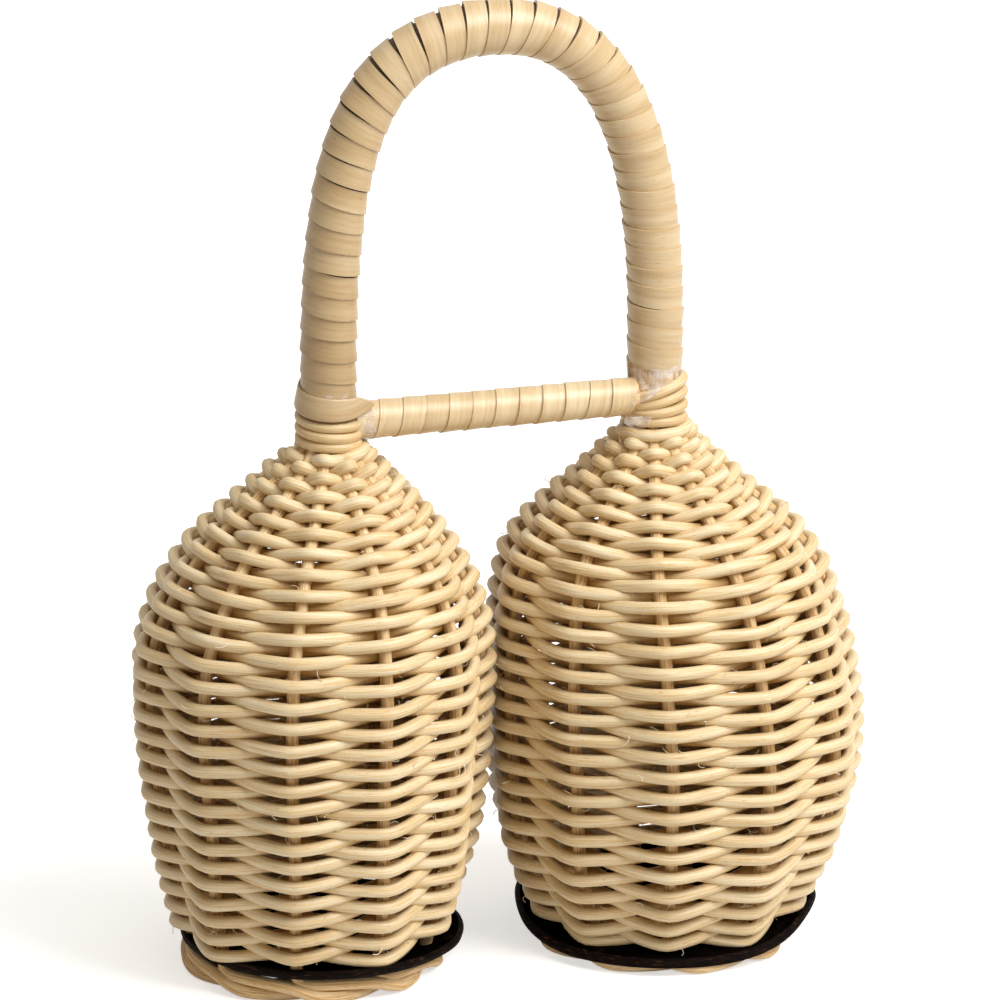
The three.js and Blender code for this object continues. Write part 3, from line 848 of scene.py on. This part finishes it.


# %% [markdown]
# The handle is one bent pole. It could follow a half circle, but the real arch leans and its legs are
# not alike, so two Bezier curves meet at its crown. The pole is painted dark, as painted shade in the
# gaps of the strip, and its bare ends at the necks are pale. The crossbar rises a little to the right
# and ends in front of the neck.

# %% Handle and crossbar
LEG_REACH = {"left": 51, "right": 20}  # how far the legs pull the arch upright
CROWN_REACH = {"left": 36.8, "right": 45}  # how far the crown pulls it level
HANDLE_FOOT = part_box("left_clear_tape")[0][2] / MM
SOLID_CORE = 5.65  # radius of the pole's solid
HANDLE_CORE = 5.95
HANDLE_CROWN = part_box("handle_core")[1][2] / MM - SOLID_CORE
ARCH_STEPS = 60  # points in each half of the arch
LEG_END = (-4, 5)  # from the foot of the handle down and up to where the bare ends reach
LEG_END_SKIN = 0.04  # how far they stand out over the pole
SHARP_EDGE = math.radians(35)
left_x, right_x = BASKETS["left"]["neck_x"], BASKETS["right"]["neck_x"]
middle_x = (left_x + right_x) / 2


def bezier(a, b, c, d, steps):
    share = np.linspace(0, 1, steps)[:, None]
    a, b, c, d = (np.array(point, float) for point in (a, b, c, d))
    rest = 1 - share
    return a * rest**3 + 3 * b * share * rest**2 + 3 * c * share**2 * rest + d * share**3


def wind_strip(name, node, line, inputs):
    """A strip wound about a line in the place of a solid, with the edges of its section kept sharp."""
    piece = grow_along(name, strip, [line], {**inputs, "Material": strip_cane})
    piece.data.set_sharp_from_angle(angle=SHARP_EDGE)
    settle(piece, "strip_cane", node)


rise = bezier(
    (left_x, 0, HANDLE_FOOT), (left_x, 0, HANDLE_FOOT + LEG_REACH["left"]),
    (middle_x - CROWN_REACH["left"], 0, HANDLE_CROWN), (middle_x, 0, HANDLE_CROWN), ARCH_STEPS,
)
fall = bezier(
    (middle_x, 0, HANDLE_CROWN), (middle_x + CROWN_REACH["right"], 0, HANDLE_CROWN),
    (right_x, 0, HANDLE_FOOT + LEG_REACH["right"]), (right_x, 0, HANDLE_FOOT), ARCH_STEPS,
)
arch = np.vstack([rise, fall[1:]])
settle(lay_cane("handle_pole", [arch], pole_cane, HANDLE_CORE, step=2.0), "pole_cane", "handle_core")
for side, basket in BASKETS.items():
    line = [(basket["neck_x"], 0, HANDLE_FOOT + end) for end in LEG_END]
    leg_end = lay_cane(f"{side}_leg_end", [line], stake_cane, HANDLE_CORE + LEG_END_SKIN, step=1.0)
    settle(leg_end, "pole_cane")
wind_strip(
    "handle_strip",
    "handle_wrap",
    arch,
    {
        "Turns": 42.0, "Steps per Turn": 32.0, "Core Radius": HANDLE_CORE * MM, "Width": 5.25 * MM,
        "Thickness": 0.7 * MM, "Start": 0.012, "End": 0.993, "Loose": 0.12, "Surge": 0.008, "Flare": 0.1,
        # painted shade, heaviest on the left leg, where less light falls, and fading past the crown
        "Seed": 2.0, "Tinge": 1.0, "Far Tinge": 0.35,
    },
)

BAR_HEIGHT = middle("crossbar_core")[2]
BAR_CORE = 3.9
BAR_SKIN = 0.05  # how far the strip stands off the bar's core
bar = [
    (left_x + 7, 0, BAR_HEIGHT), (middle_x, -0.5, BAR_HEIGHT + 0.3), (right_x - 5.3, -2.8, BAR_HEIGHT + 1.3),
]
settle(lay_cane("crossbar_pole", [bar], stake_cane, BAR_CORE, step=4.0), "pole_cane", "crossbar_core")
wind_strip(
    "crossbar_strip",
    "crossbar_wrap",
    bar,
    {
        "Turns": 12.0, "Steps per Turn": 28.0, "Core Radius": (BAR_CORE + BAR_SKIN) * MM, "Width": 5.9 * MM,
        "Thickness": 0.6 * MM, "Start": 0.0, "End": 1.0, "Loose": 0.06, "Surge": 0.0, "Flare": 0.05,
        "Seed": 6.0, "Tinge": 0.0, "Far Tinge": 0.0,
    },
)


# %% [markdown]
# ## Lashing
# At the left neck the last turn of the handle's strip is drawn out over the end of the crossbar and
# tucked away in a point. It is a flat strip that changes direction and width, so it is lofted as a sheet
# between two edges and then given its thickness. Some pieces further on are sheets too.

# %% Sheets
SHEET_ROWS = 6  # points across a narrow sheet
SHEET_STEPS = 8  # points between two given ones along it


def store(mesh, name, kind, field, values):
    """Stores one value for each point of a mesh."""
    mesh.attributes.new(name, kind, "POINT").data.foreach_set(field, values)


def sheet(name, upper, lower, rows, material, tinge=0.0):
    """A sheet lofted between two edges, with the strand attributes that the cane materials read."""
    across = np.linspace(0, 1, rows)
    grid = np.array([[a + (b - a) * t for t in across] for a, b in zip(lower, upper)])
    steps = len(grid)
    faces = [
        (i * rows + k, (i + 1) * rows + k, (i + 1) * rows + k + 1, i * rows + k + 1)
        for i in range(steps - 1) for k in range(rows - 1)
    ]
    mesh = bpy.data.meshes.new(name)
    mesh.from_pydata((grid.reshape(-1, 3) * MM).tolist(), [], faces)
    far = np.concatenate([[0], np.cumsum(np.linalg.norm(np.diff(grid[:, rows // 2], axis=0), axis=1))]) * MM
    place = np.zeros((steps * rows, 3))
    place[:, 1] = (np.linalg.norm(grid - grid[:, :1], axis=2) * MM).reshape(-1)
    store(mesh, "along", "FLOAT", "value", np.repeat(far, rows))
    store(mesh, "around", "FLOAT_VECTOR", "vector", place.reshape(-1))
    # the amount of painted shade that the cane materials read
    store(mesh, "tinge", "FLOAT", "value", np.full(steps * rows, tinge))
    return new_piece(name, mesh, material)


def new_piece(name, mesh, material):
    piece = bpy.data.objects.new(name, mesh)
    scene.collection.objects.link(piece)
    mesh.materials.append(material)
    return piece


def keep_smooth(piece):
    """Keeps the piece as its modifiers leave it, with smooth shading."""
    keep_mesh(piece)
    piece.data.polygons.foreach_set("use_smooth", [True] * len(piece.data.polygons))


def thicken(piece, thickness):
    """Solidifies and smooths a sheet, and keeps the result as a plain mesh."""
    solid = piece.modifiers.new("thickness", "SOLIDIFY")
    solid.thickness = thickness * MM
    solid.offset = 1
    smooth = piece.modifiers.new("smooth", "SUBSURF")
    smooth.levels = smooth.render_levels = 1
    keep_smooth(piece)


# %% Lashing at the left neck
# Turn in degrees, distance from the leg's axis, height of the middle and width
LASHING = [
    (60, 6.7, 146.5, 4.6), (110, 6.9, 145.2, 5.0), (164, 7.2, 143.2, 5.3), (210, 7.3, 141.9, 5.6),
    (254, 7.3, 141.2, 5.6), (295, 7.5, 141.0, 5.2), (322, 8.6, 141.2, 4.0), (343, 10.4, 140.6, 0.5),
]
LASHING_LEAN = 0.1  # how far its upper edge leans in, as a share of its width
# painted shade on the lashing, which lies on the left neck, where less light falls
LASHING_PAINTED_SHADE = 0.9
LASHING_THICKNESS = 0.6
line = spline(LASHING, SHEET_STEPS)
turns = np.radians(line[:, 0])
centre = np.column_stack([left_x + line[:, 1] * np.cos(turns), line[:, 1] * np.sin(turns), line[:, 2]])
lean = -LASHING_LEAN * line[:, 3]
half_width = np.column_stack([lean * np.cos(turns), lean * np.sin(turns), line[:, 3] / 2])
edges = (centre + half_width, centre - half_width)
lashing = sheet("left_lashing", *edges, SHEET_ROWS, strip_cane, LASHING_PAINTED_SHADE)
thicken(lashing, LASHING_THICKNESS)
settle(lashing, "strip_cane")


# %% [markdown]
# ## Gourd bases
# The discs are cut from a calabash, so they have a dark, mottled skin, and a cut rim that is a second
# material, because the paler layers of the gourd's wall show there.

# %% Gourd materials
def object_place(tree):
    return add_node(tree, "ShaderNodeTexCoord").outputs["Object"]


gourd_skin, tree, shader = new_material("gourd_skin")
place = object_place(tree)
mottle = noise_at(place, 260.0, 4.0)
skin = {
    "Base Color": ramp(mottle, [(0.4, srgb(4, 3, 2)), (0.62, srgb(11, 7, 5)), (0.76, srgb(38, 24, 15))]),
    "Roughness": ramp(mottle, [(0.3, grey(0.5)), (0.7, grey(0.75))]),
    "Specular IOR Level": 0.0,
    "Normal": bump(noise_at(place, 900.0, 3.0), 0.5, 0.2),
}
fill_in(shader, skin)

gourd_rim, tree, shader = new_material("gourd_rim")
layers = add_node(tree, "ShaderNodeMapping", {"Vector": object_place(tree), "Scale": (1.0, 1.0, 6.0)})
mottle = noise_at(layers.outputs[0], 420.0, 4.0)
rim = {
    "Base Color": ramp(mottle, [(0.42, srgb(8, 5, 4)), (0.6, srgb(24, 14, 10)), (0.76, srgb(74, 48, 30))]),
    "Roughness": 0.7,
    "Specular IOR Level": 0.04,
    "Normal": bump(mottle, 0.6, 0.3),
}
fill_in(shader, rim)
print("gourd materials:", gourd_skin.name, gourd_rim.name)


# %% [markdown]
# A calabash is round, so a disc cut from it isn't quite flat: the left one's rim stands up all round,
# and the right one hangs at the front and curls up at its sides and back. A disc is built ring by ring,
# bent, and drilled for the stakes with a Boolean.

# %% Gourd discs
RIM_STEPS = 132
RIM_BANDS = range(5, 9)  # bands of the section below that lie on the cut rim
RIM_REACH, RIM_RISE = 0.7, 0.3  # unevenness of the rim, outwards and upwards
DISC_SWELL = 0.3  # how much thicker the disc is than its solid
HOLE_CLEARANCE = 0.15
HOLE_DEPTH = 20
HOLE_SIDES = 20
SHARP_RIM = math.radians(50)
# From the middle of the top over the rim to the middle below: share of the radius, share of the thickness
DISC_SECTION = [
    (0.0, 0.5), (0.3, 0.5), (0.55, 0.5), (0.75, 0.5), (0.9, 0.5), (0.965, 0.46), (0.992, 0.3), (1.0, 0.0),
    (0.992, -0.3), (0.965, -0.46), (0.9, -0.5), (0.75, -0.5), (0.55, -0.5), (0.3, -0.5), (0.0, -0.5),
]


def plain_mesh(name, shape):
    """A mesh from a finished bmesh."""
    mesh = bpy.data.meshes.new(name)
    shape.to_mesh(mesh)
    shape.free()
    return mesh


def disc_rings(basket, shape):
    """Points of a bent disc, ring by ring over its section."""
    thickness = GOURD_TOP - GOURD_LOW + DISC_SWELL
    for share, level in DISC_SECTION:
        ring = []
        for step in range(RIM_STEPS if share else 1):
            turn = 2 * math.pi * step / RIM_STEPS
            x, y = math.cos(turn), math.sin(turn)
            uneven = noise.noise(Vector((2 * x, 2 * y, basket["rim_seed"])))
            reach = share * (basket["disc_radius"] + RIM_REACH * uneven * share**3)
            bend = disc_level(basket, turn, share) + RIM_RISE * uneven * share
            z = GOURD_TOP + (level - 0.5) * thickness + bend
            ring.append(shape.verts.new((basket["disc_x"] + reach * x, reach * y, z)))
        yield ring


def disc_mesh(name, basket):
    """A closed disc whose rim faces take the second material."""
    shape = bmesh.new()
    rings = list(disc_rings(basket, shape))
    for band, (ring, after) in enumerate(zip(rings, rings[1:])):
        for step in range(RIM_STEPS):
            follow = (step + 1) % RIM_STEPS
            places = ((ring, step), (after, step), (after, follow), (ring, follow))
            corners = [points[index % len(points)] for points, index in places]
            face = shape.faces.new(list(dict.fromkeys(corners)))
            face.material_index = 1 if band in RIM_BANDS else 0
            face.smooth = True
    bmesh.ops.recalc_face_normals(shape, faces=shape.faces)
    bmesh.ops.scale(shape, vec=(MM, MM, MM), verts=shape.verts)
    return plain_mesh(name, shape)


def drill_mesh(basket):
    """A drill for each stake's hole."""
    shape = bmesh.new()
    bit_radius = (STAKE / 2 + HOLE_CLEARANCE) * MM
    hole_radius = meridian(basket, STAKE_DEPTH)[0][0]
    for number in range(STAKES):
        turn = basket["turn"] + number * STAKE_STEP
        bit = bmesh.ops.create_cone(
            shape, cap_ends=True, segments=HOLE_SIDES, radius1=bit_radius, radius2=bit_radius,
            depth=HOLE_DEPTH * MM,
        )
        place = Vector(on_basket(basket, turn, hole_radius, (GOURD_LOW + GOURD_TOP) / 2)) * MM
        bmesh.ops.translate(shape, verts=bit["verts"], vec=place)
    return plain_mesh("drills", shape)


for side, basket in BASKETS.items():
    disc = new_piece(f"{side}_gourd", disc_mesh(f"{side}_gourd", basket), gourd_skin)
    disc.data.materials.append(gourd_rim)
    drills = bpy.data.objects.new("drills", drill_mesh(basket))
    scene.collection.objects.link(drills)
    disc.modifiers.new("holes", "BOOLEAN").object = drills
    keep_smooth(disc)
    disc.data.set_sharp_from_angle(angle=SHARP_RIM)
    bpy.data.objects.remove(drills)
    settle(disc, "gourd", f"{side}_gourd_base")


# %% [markdown]
# ## Seeds
# The seeds can't be seen from outside, but they are what sounds. Each is a small bean on its own body,
# so that it can be thrown up in its basket. One rounded shape is bent a little, dented where the pod
# held it, and set where its solid lies.

# %% Seeds
SEED_LENGTH, SEED_WIDTH = 7.4, 5.8
SEED_SQUASH = 0.94
SEED_BEND = 0.25
DENT_DEPTH, DENT_LENGTH, DENT_WIDTH = 0.09, 0.16, 0.2  # as shares of the seed
SEEDS = 11  # in each basket
seed_coat, tree, shader = new_material("seed_coat")
speckle = noise_at(object_place(tree), 900.0, 4.0)
browns = [(0.35, srgb(70, 42, 26)), (0.55, srgb(122, 82, 50)), (0.72, srgb(164, 122, 80))]
coat = {"Base Color": ramp(speckle, browns), "Roughness": 0.35, "Normal": bump(speckle, 0.2, 0.1)}
fill_in(shader, coat)


def bean_mesh(name, turn, centre):
    """A bent and dented bean, turned about the upright and set in its place."""
    shape = bmesh.new()
    bmesh.ops.create_uvsphere(shape, u_segments=24, v_segments=16, radius=0.5)
    for vertex in shape.verts:
        x, y, z = vertex.co
        dent = DENT_DEPTH * math.exp(-((x / DENT_LENGTH) ** 2) - ((z / DENT_WIDTH) ** 2)) if y > 0 else 0.0
        bent = y - dent - SEED_BEND * (x * x - 0.08)
        vertex.co = (x * SEED_LENGTH, bent * SEED_WIDTH * SEED_SQUASH, z * SEED_WIDTH)
        x, y, z = vertex.co
        vertex.co = (x * math.cos(turn) - y * math.sin(turn), x * math.sin(turn) + y * math.cos(turn), z)
        vertex.co = (vertex.co + centre) * MM
    for face in shape.faces:
        face.smooth = True
    return plain_mesh(name, shape)


for side in BASKETS:
    for number in range(SEEDS):
        name = f"{side}_seed_{number + 1:02d}"
        mesh = bean_mesh(name + "_bean", number**2, Vector(middle(name)))
        bean = new_piece(name + "_bean", mesh, seed_coat)
        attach(bean, name)
        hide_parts(name)
print("seeds:", SEEDS, "in each basket")


# %% [markdown]
# ## Clear film
# A few turns of clear film hold the foot of each handle leg and the left end of the crossbar. It is
# thin and creased, so a sleeve is turned with an uneven edge, crumpled with noise, and given a glossy,
# mostly see-through finish. At the right neck two loose pieces of it hang over the binding.

# %% Film sleeves
FILM_STEPS = 72
FILM_ROWS = 8
FILM_THICKNESS = 0.12
FILM_WELD = 0.02  # joins the sleeve's two ends
FILM_STAND = 0.75  # from the handle's core to the film
FILM_BELOW, FILM_ABOVE = 1.6, 0.9  # how far a sleeve reaches past its solid
BAR_FILM = (6.6, 10.4)  # from the left neck's axis to the ends of the crossbar's sleeve
BAR_FILM_RADIUS = 4.75
SLEEVE_CRUMPLE, PIECE_CRUMPLE = 0.35, 0.6
RAGGED_EDGE, RAGGED_REACH = 0.9, 0.5  # unevenness of a sleeve's edges and of its radius
CREASES = 450  # per metre
clear_film, tree, shader = new_material("clear_film")
crease = noise_at(object_place(tree), 330.0, 2.0)
film_finish = {
    "Base Color": srgb(236, 228, 222),
    "Roughness": 0.12,
    "Specular IOR Level": 0.8,
    "Alpha": ramp(crease, [(0.42, grey(0.04)), (0.7, grey(0.4))]),
    "Normal": bump(crease, 0.8, 0.6),
}
fill_in(shader, film_finish)


def crumple(piece, depth):
    """Pushes a thin sheet in and out along its own normals."""
    for vertex in piece.data.vertices:
        vertex.co += vertex.normal * depth * MM * noise.noise(vertex.co * CREASES)


def sleeve(name, centre, level, start, end, radius):
    """A ragged sleeve of film about an upright axis, or about a level one along X."""
    edges = [[], []]
    for step in range(FILM_STEPS + 1):
        turn = 2 * math.pi * step / FILM_STEPS
        around = Vector((math.cos(turn), math.sin(turn), 0))
        for edge, base in zip(edges, (start, end)):
            ragged = base + RAGGED_EDGE * noise.noise(around * 2.5 + Vector((0, 0, base)))
            reach = radius + RAGGED_REACH * noise.noise(around * 3.5 + Vector((0, 0, base * 2)))
            x, y = reach * around.x, reach * around.y
            out = (ragged, x, y) if level else (x, y, ragged)
            edge.append([a + b for a, b in zip(centre, out)])
    film = sheet(name, np.array(edges[1]), np.array(edges[0]), FILM_ROWS, clear_film)
    crumple(film, SLEEVE_CRUMPLE)
    film.modifiers.new("weld", "WELD").merge_threshold = FILM_WELD * MM
    thicken(film, FILM_THICKNESS)
    return film


for side, basket in BASKETS.items():
    low, high = (corner[2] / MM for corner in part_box(f"{side}_clear_tape"))
    ends = (low - FILM_BELOW, high + FILM_ABOVE)
    film = sleeve(f"{side}_film", (basket["neck_x"], 0, 0), False, *ends, HANDLE_CORE + FILM_STAND)
    settle(film, "clear_tape", f"{side}_clear_tape")
settle(sleeve("bar_film", (left_x, 0, BAR_HEIGHT), True, *BAR_FILM, BAR_FILM_RADIUS), "clear_tape")

# %% Loose film at the right neck
# X and Y from the neck's axis, height, and half the width along X and Z
FILM_PIECES = {
    "right_strap": [
        (-8.1, -7.6, 137.2, -0.3, 0.8), (-6.2, -7.9, 138.6, -0.7, 1.5), (-3.2, -8.3, 140.3, -0.8, 1.6),
        (-0.3, -8.3, 142.6, -0.7, 1.4), (2.1, -7.6, 144.6, -0.4, 0.8),
    ],
    "right_rag": [
        (-9.4, -6.0, 132.4, 0.1, 0.9), (-7.4, -7.0, 132.0, 0, 1.4), (-5.0, -7.4, 131.8, 0.1, 1.5),
        (-3.2, -7.4, 132.0, 0, 1.2),
    ],
}
for name, rows in FILM_PIECES.items():
    line = spline(rows, SHEET_STEPS)
    centre = line[:, :3] + (right_x, 0, 0)
    half = np.column_stack([line[:, 3], 0 * line[:, 3], line[:, 4]])
    film = sheet(name, centre + half, centre - half, SHEET_ROWS, clear_film)
    crumple(film, PIECE_CRUMPLE)
    thicken(film, FILM_THICKNESS)
    settle(film, "clear_tape")


# %% [markdown]
# ## Loose fibres
# Cane is fibrous, and pale hairs stand off the weave here and there. Points are scattered over the
# woven wall with a fixed seed, and a thin bent hair is set on each, turned and scaled at random.

# %% Fibre tree
fuzz, given = new_tree(
    "GeometryNodeTree",
    "Loose fibres",
    {
        "Wall": "Object", "Density": "Float", "Length": "Float", "Hair Radius": "Float", "Seed": "Int",
        "Material": "Material",
    },
    {"Geometry": "Geometry"},
)


def random_number(low, high, seed):
    """A number for each hair, drawn between two limits."""
    inputs = {2: low, 3: high, "Seed": seed}
    return Number(add_node(fuzz, "FunctionNodeRandomValue", inputs, data_type="FLOAT").outputs[1])


wall = add_node(fuzz, "GeometryNodeObjectInfo", {"Object": given["Wall"]}).outputs["Geometry"]
scatter = add_node(
    fuzz,
    "GeometryNodeDistributePointsOnFaces",
    {"Mesh": wall, "Density": given["Density"], "Seed": given["Seed"]},
).outputs
hair_line = add_node(
    fuzz,
    "GeometryNodeCurveQuadraticBezier",
    {"Resolution": 6, "Start": (0, 0, 0), "Middle": (0.5, 0.35, 0.4), "End": (0.85, -0.15, 0.3)},
).outputs[0]
hair_section = round_section(given["Hair Radius"] / given["Length"], 3)
hair = add_node(
    fuzz, "GeometryNodeCurveToMesh", {"Curve": hair_line, "Profile Curve": hair_section, "Fill Caps": True}
).outputs[0]
spin = add_node(fuzz, "ShaderNodeCombineXYZ", {"Z": random_number(0.0, 2 * math.pi, 4)}).outputs[0]
planted = add_node(
    fuzz,
    "GeometryNodeInstanceOnPoints",
    {
        "Points": scatter["Points"], "Instance": hair, "Rotation": scatter["Rotation"],
        "Scale": random_number(0.5, 1.6, 9) * given["Length"],
    },
).outputs[0]
turned = add_node(fuzz, "GeometryNodeRotateInstances", {"Instances": planted, "Rotation": spin}).outputs[0]
dress(turned, given["Material"])
print("tree:", fuzz.name, "with", len(fuzz.nodes), "nodes")


# %% [markdown]
# The hairs are bleached a little paler than the cane that they stand on, and vary from one to the next.

# %% Scatter the fibres
pale_fibre, tree, shader = new_material("pale_fibre")
shade = noise_at(object_place(tree), 120.0)
pale = ramp(shade, [(0.35, srgb(226, 200, 156)), (0.65, srgb(250, 240, 218))])
fill_in(shader, {"Base Color": pale, "Roughness": 0.6})
for side in BASKETS:
    hairs = grow(
        f"{side}_loose_fibres",
        fuzz,
        {
            "Wall": bpy.data.objects[f"{side}_weave"], "Density": 9000.0, "Length": 2.2 * MM,
            "Hair Radius": 0.07 * MM, "Seed": 11, "Material": pale_fibre,
        },
    )
    settle(hairs, "weaver_cane")


# %% [markdown]
# ## Camera, floor and light
# The photograph was taken from well back with a long lens, a little to the left and above. So the
# camera is placed by a turn and a rise about a point on the object, and the lens follows from its
# distance and the size of a pixel there.

# %% Camera
CAMERA_TURN = -16.0
CAMERA_RISE = 17.5
CAMERA_DISTANCE = 1900
CAMERA_SENSOR = 36
PIXEL = 0.24  # millimetres at the object
FRAME_PIXELS = 1000
AIM = Vector((0.85, -0.53, 113.2)) * MM


def look_from(name, data, turn, rise, distance):
    """A camera or lamp that looks at the object from a turn, a rise and a distance in metres."""
    looker = bpy.data.objects.new(name, data)
    scene.collection.objects.link(looker)
    turn, rise = math.radians(turn), math.radians(rise)
    away = Vector((math.sin(turn) * math.cos(rise), -math.cos(turn) * math.cos(rise), math.sin(rise)))
    looker.location = AIM + away * distance
    looker.rotation_euler = away.to_track_quat("Z", "Y").to_euler()
    return looker


lens = bpy.data.cameras.new("camera")
lens.sensor_width = CAMERA_SENSOR
lens.lens = CAMERA_SENSOR * CAMERA_DISTANCE / (PIXEL * FRAME_PIXELS)
scene.camera = look_from("camera", lens, CAMERA_TURN, CAMERA_RISE, CAMERA_DISTANCE * MM)
print("lens", round(lens.lens), "mm")


# %% [markdown]
# The photograph's background is white. The floor keeps the object's shadow, and a glow that only the
# camera sees lifts it to white farther out, so that it meets the white of the world without an edge. The
# light is soft and comes from the upper right, with a warm fill that keeps the left side readable.

# %% Floor, lamps and world
FLOOR_SIZE = 6.0  # metres
FLOOR_GLOW = 0.6  # lifts the lit floor to white where the camera sees it, and keeps the shadow
NEAR, FAR = 0.4, 1.2  # metres from the object between which the glow rises to white
# Turn from the camera, rise, distance in metres, size in metres and power in watts
LAMPS = {"key": (58, 46, 1.3, 0.8, 20), "top": (10, 80, 1.6, 1.2, 8)}
FILL_COLOUR = (1, 0.84, 0.62, 1)
FILL_STRENGTH = 0.22


def background_rays(tree):
    """1 where the camera sees a place straight, in a gloss or through glass, and 0 for other light."""
    rays = add_node(tree, "ShaderNodeLightPath").outputs
    indirect = calc("MAXIMUM", rays["Is Glossy Ray"], rays["Is Transmission Ray"])
    return calc("MAXIMUM", rays["Is Camera Ray"], indirect)


half = FLOOR_SIZE / 2
corners = [(-half, -half, 0), (half, -half, 0), (half, half, 0), (-half, half, 0)]
floor_mesh = bpy.data.meshes.new("floor")
floor_mesh.from_pydata(corners, [], [(0, 1, 2, 3)])
floor_paint, tree, shader = new_material("floor_paint")
out = add_node(tree, "ShaderNodeVectorMath", {0: object_place(tree)}, operation="LENGTH").outputs["Value"]
glow = FLOOR_GLOW + eased(out, NEAR, FAR) * (1 - FLOOR_GLOW)
floor_finish = {
    "Base Color": grey(0.8),
    "Roughness": 0.9,
    "Emission Color": WHITE,
    "Emission Strength": background_rays(tree) * glow,
}
fill_in(shader, floor_finish)
new_piece("floor", floor_mesh, floor_paint)

for name, (turn, rise, distance, size, power) in LAMPS.items():
    lamp = bpy.data.lights.new(name, "AREA")
    lamp.size = size
    lamp.energy = power
    look_from(name, lamp, CAMERA_TURN + turn, rise, distance)

scene.world = bpy.data.worlds.new("world")
scene.world.use_nodes = True
tree = scene.world.node_tree
fill = tree.nodes["Background"]
fill_in(fill, {"Color": FILL_COLOUR, "Strength": FILL_STRENGTH})
backdrop = add_node(tree, "ShaderNodeBackground", {"Color": WHITE, "Strength": 1.0})
inputs = {0: background_rays(tree), 1: fill.outputs[0], 2: backdrop.outputs[0]}
sky = add_node(tree, "ShaderNodeMixShader", inputs).outputs[0]
fill_in(tree.nodes["World Output"], {"Surface": sky})
scene.view_settings.view_transform = "Standard"
print("lamps:", ", ".join(LAMPS))
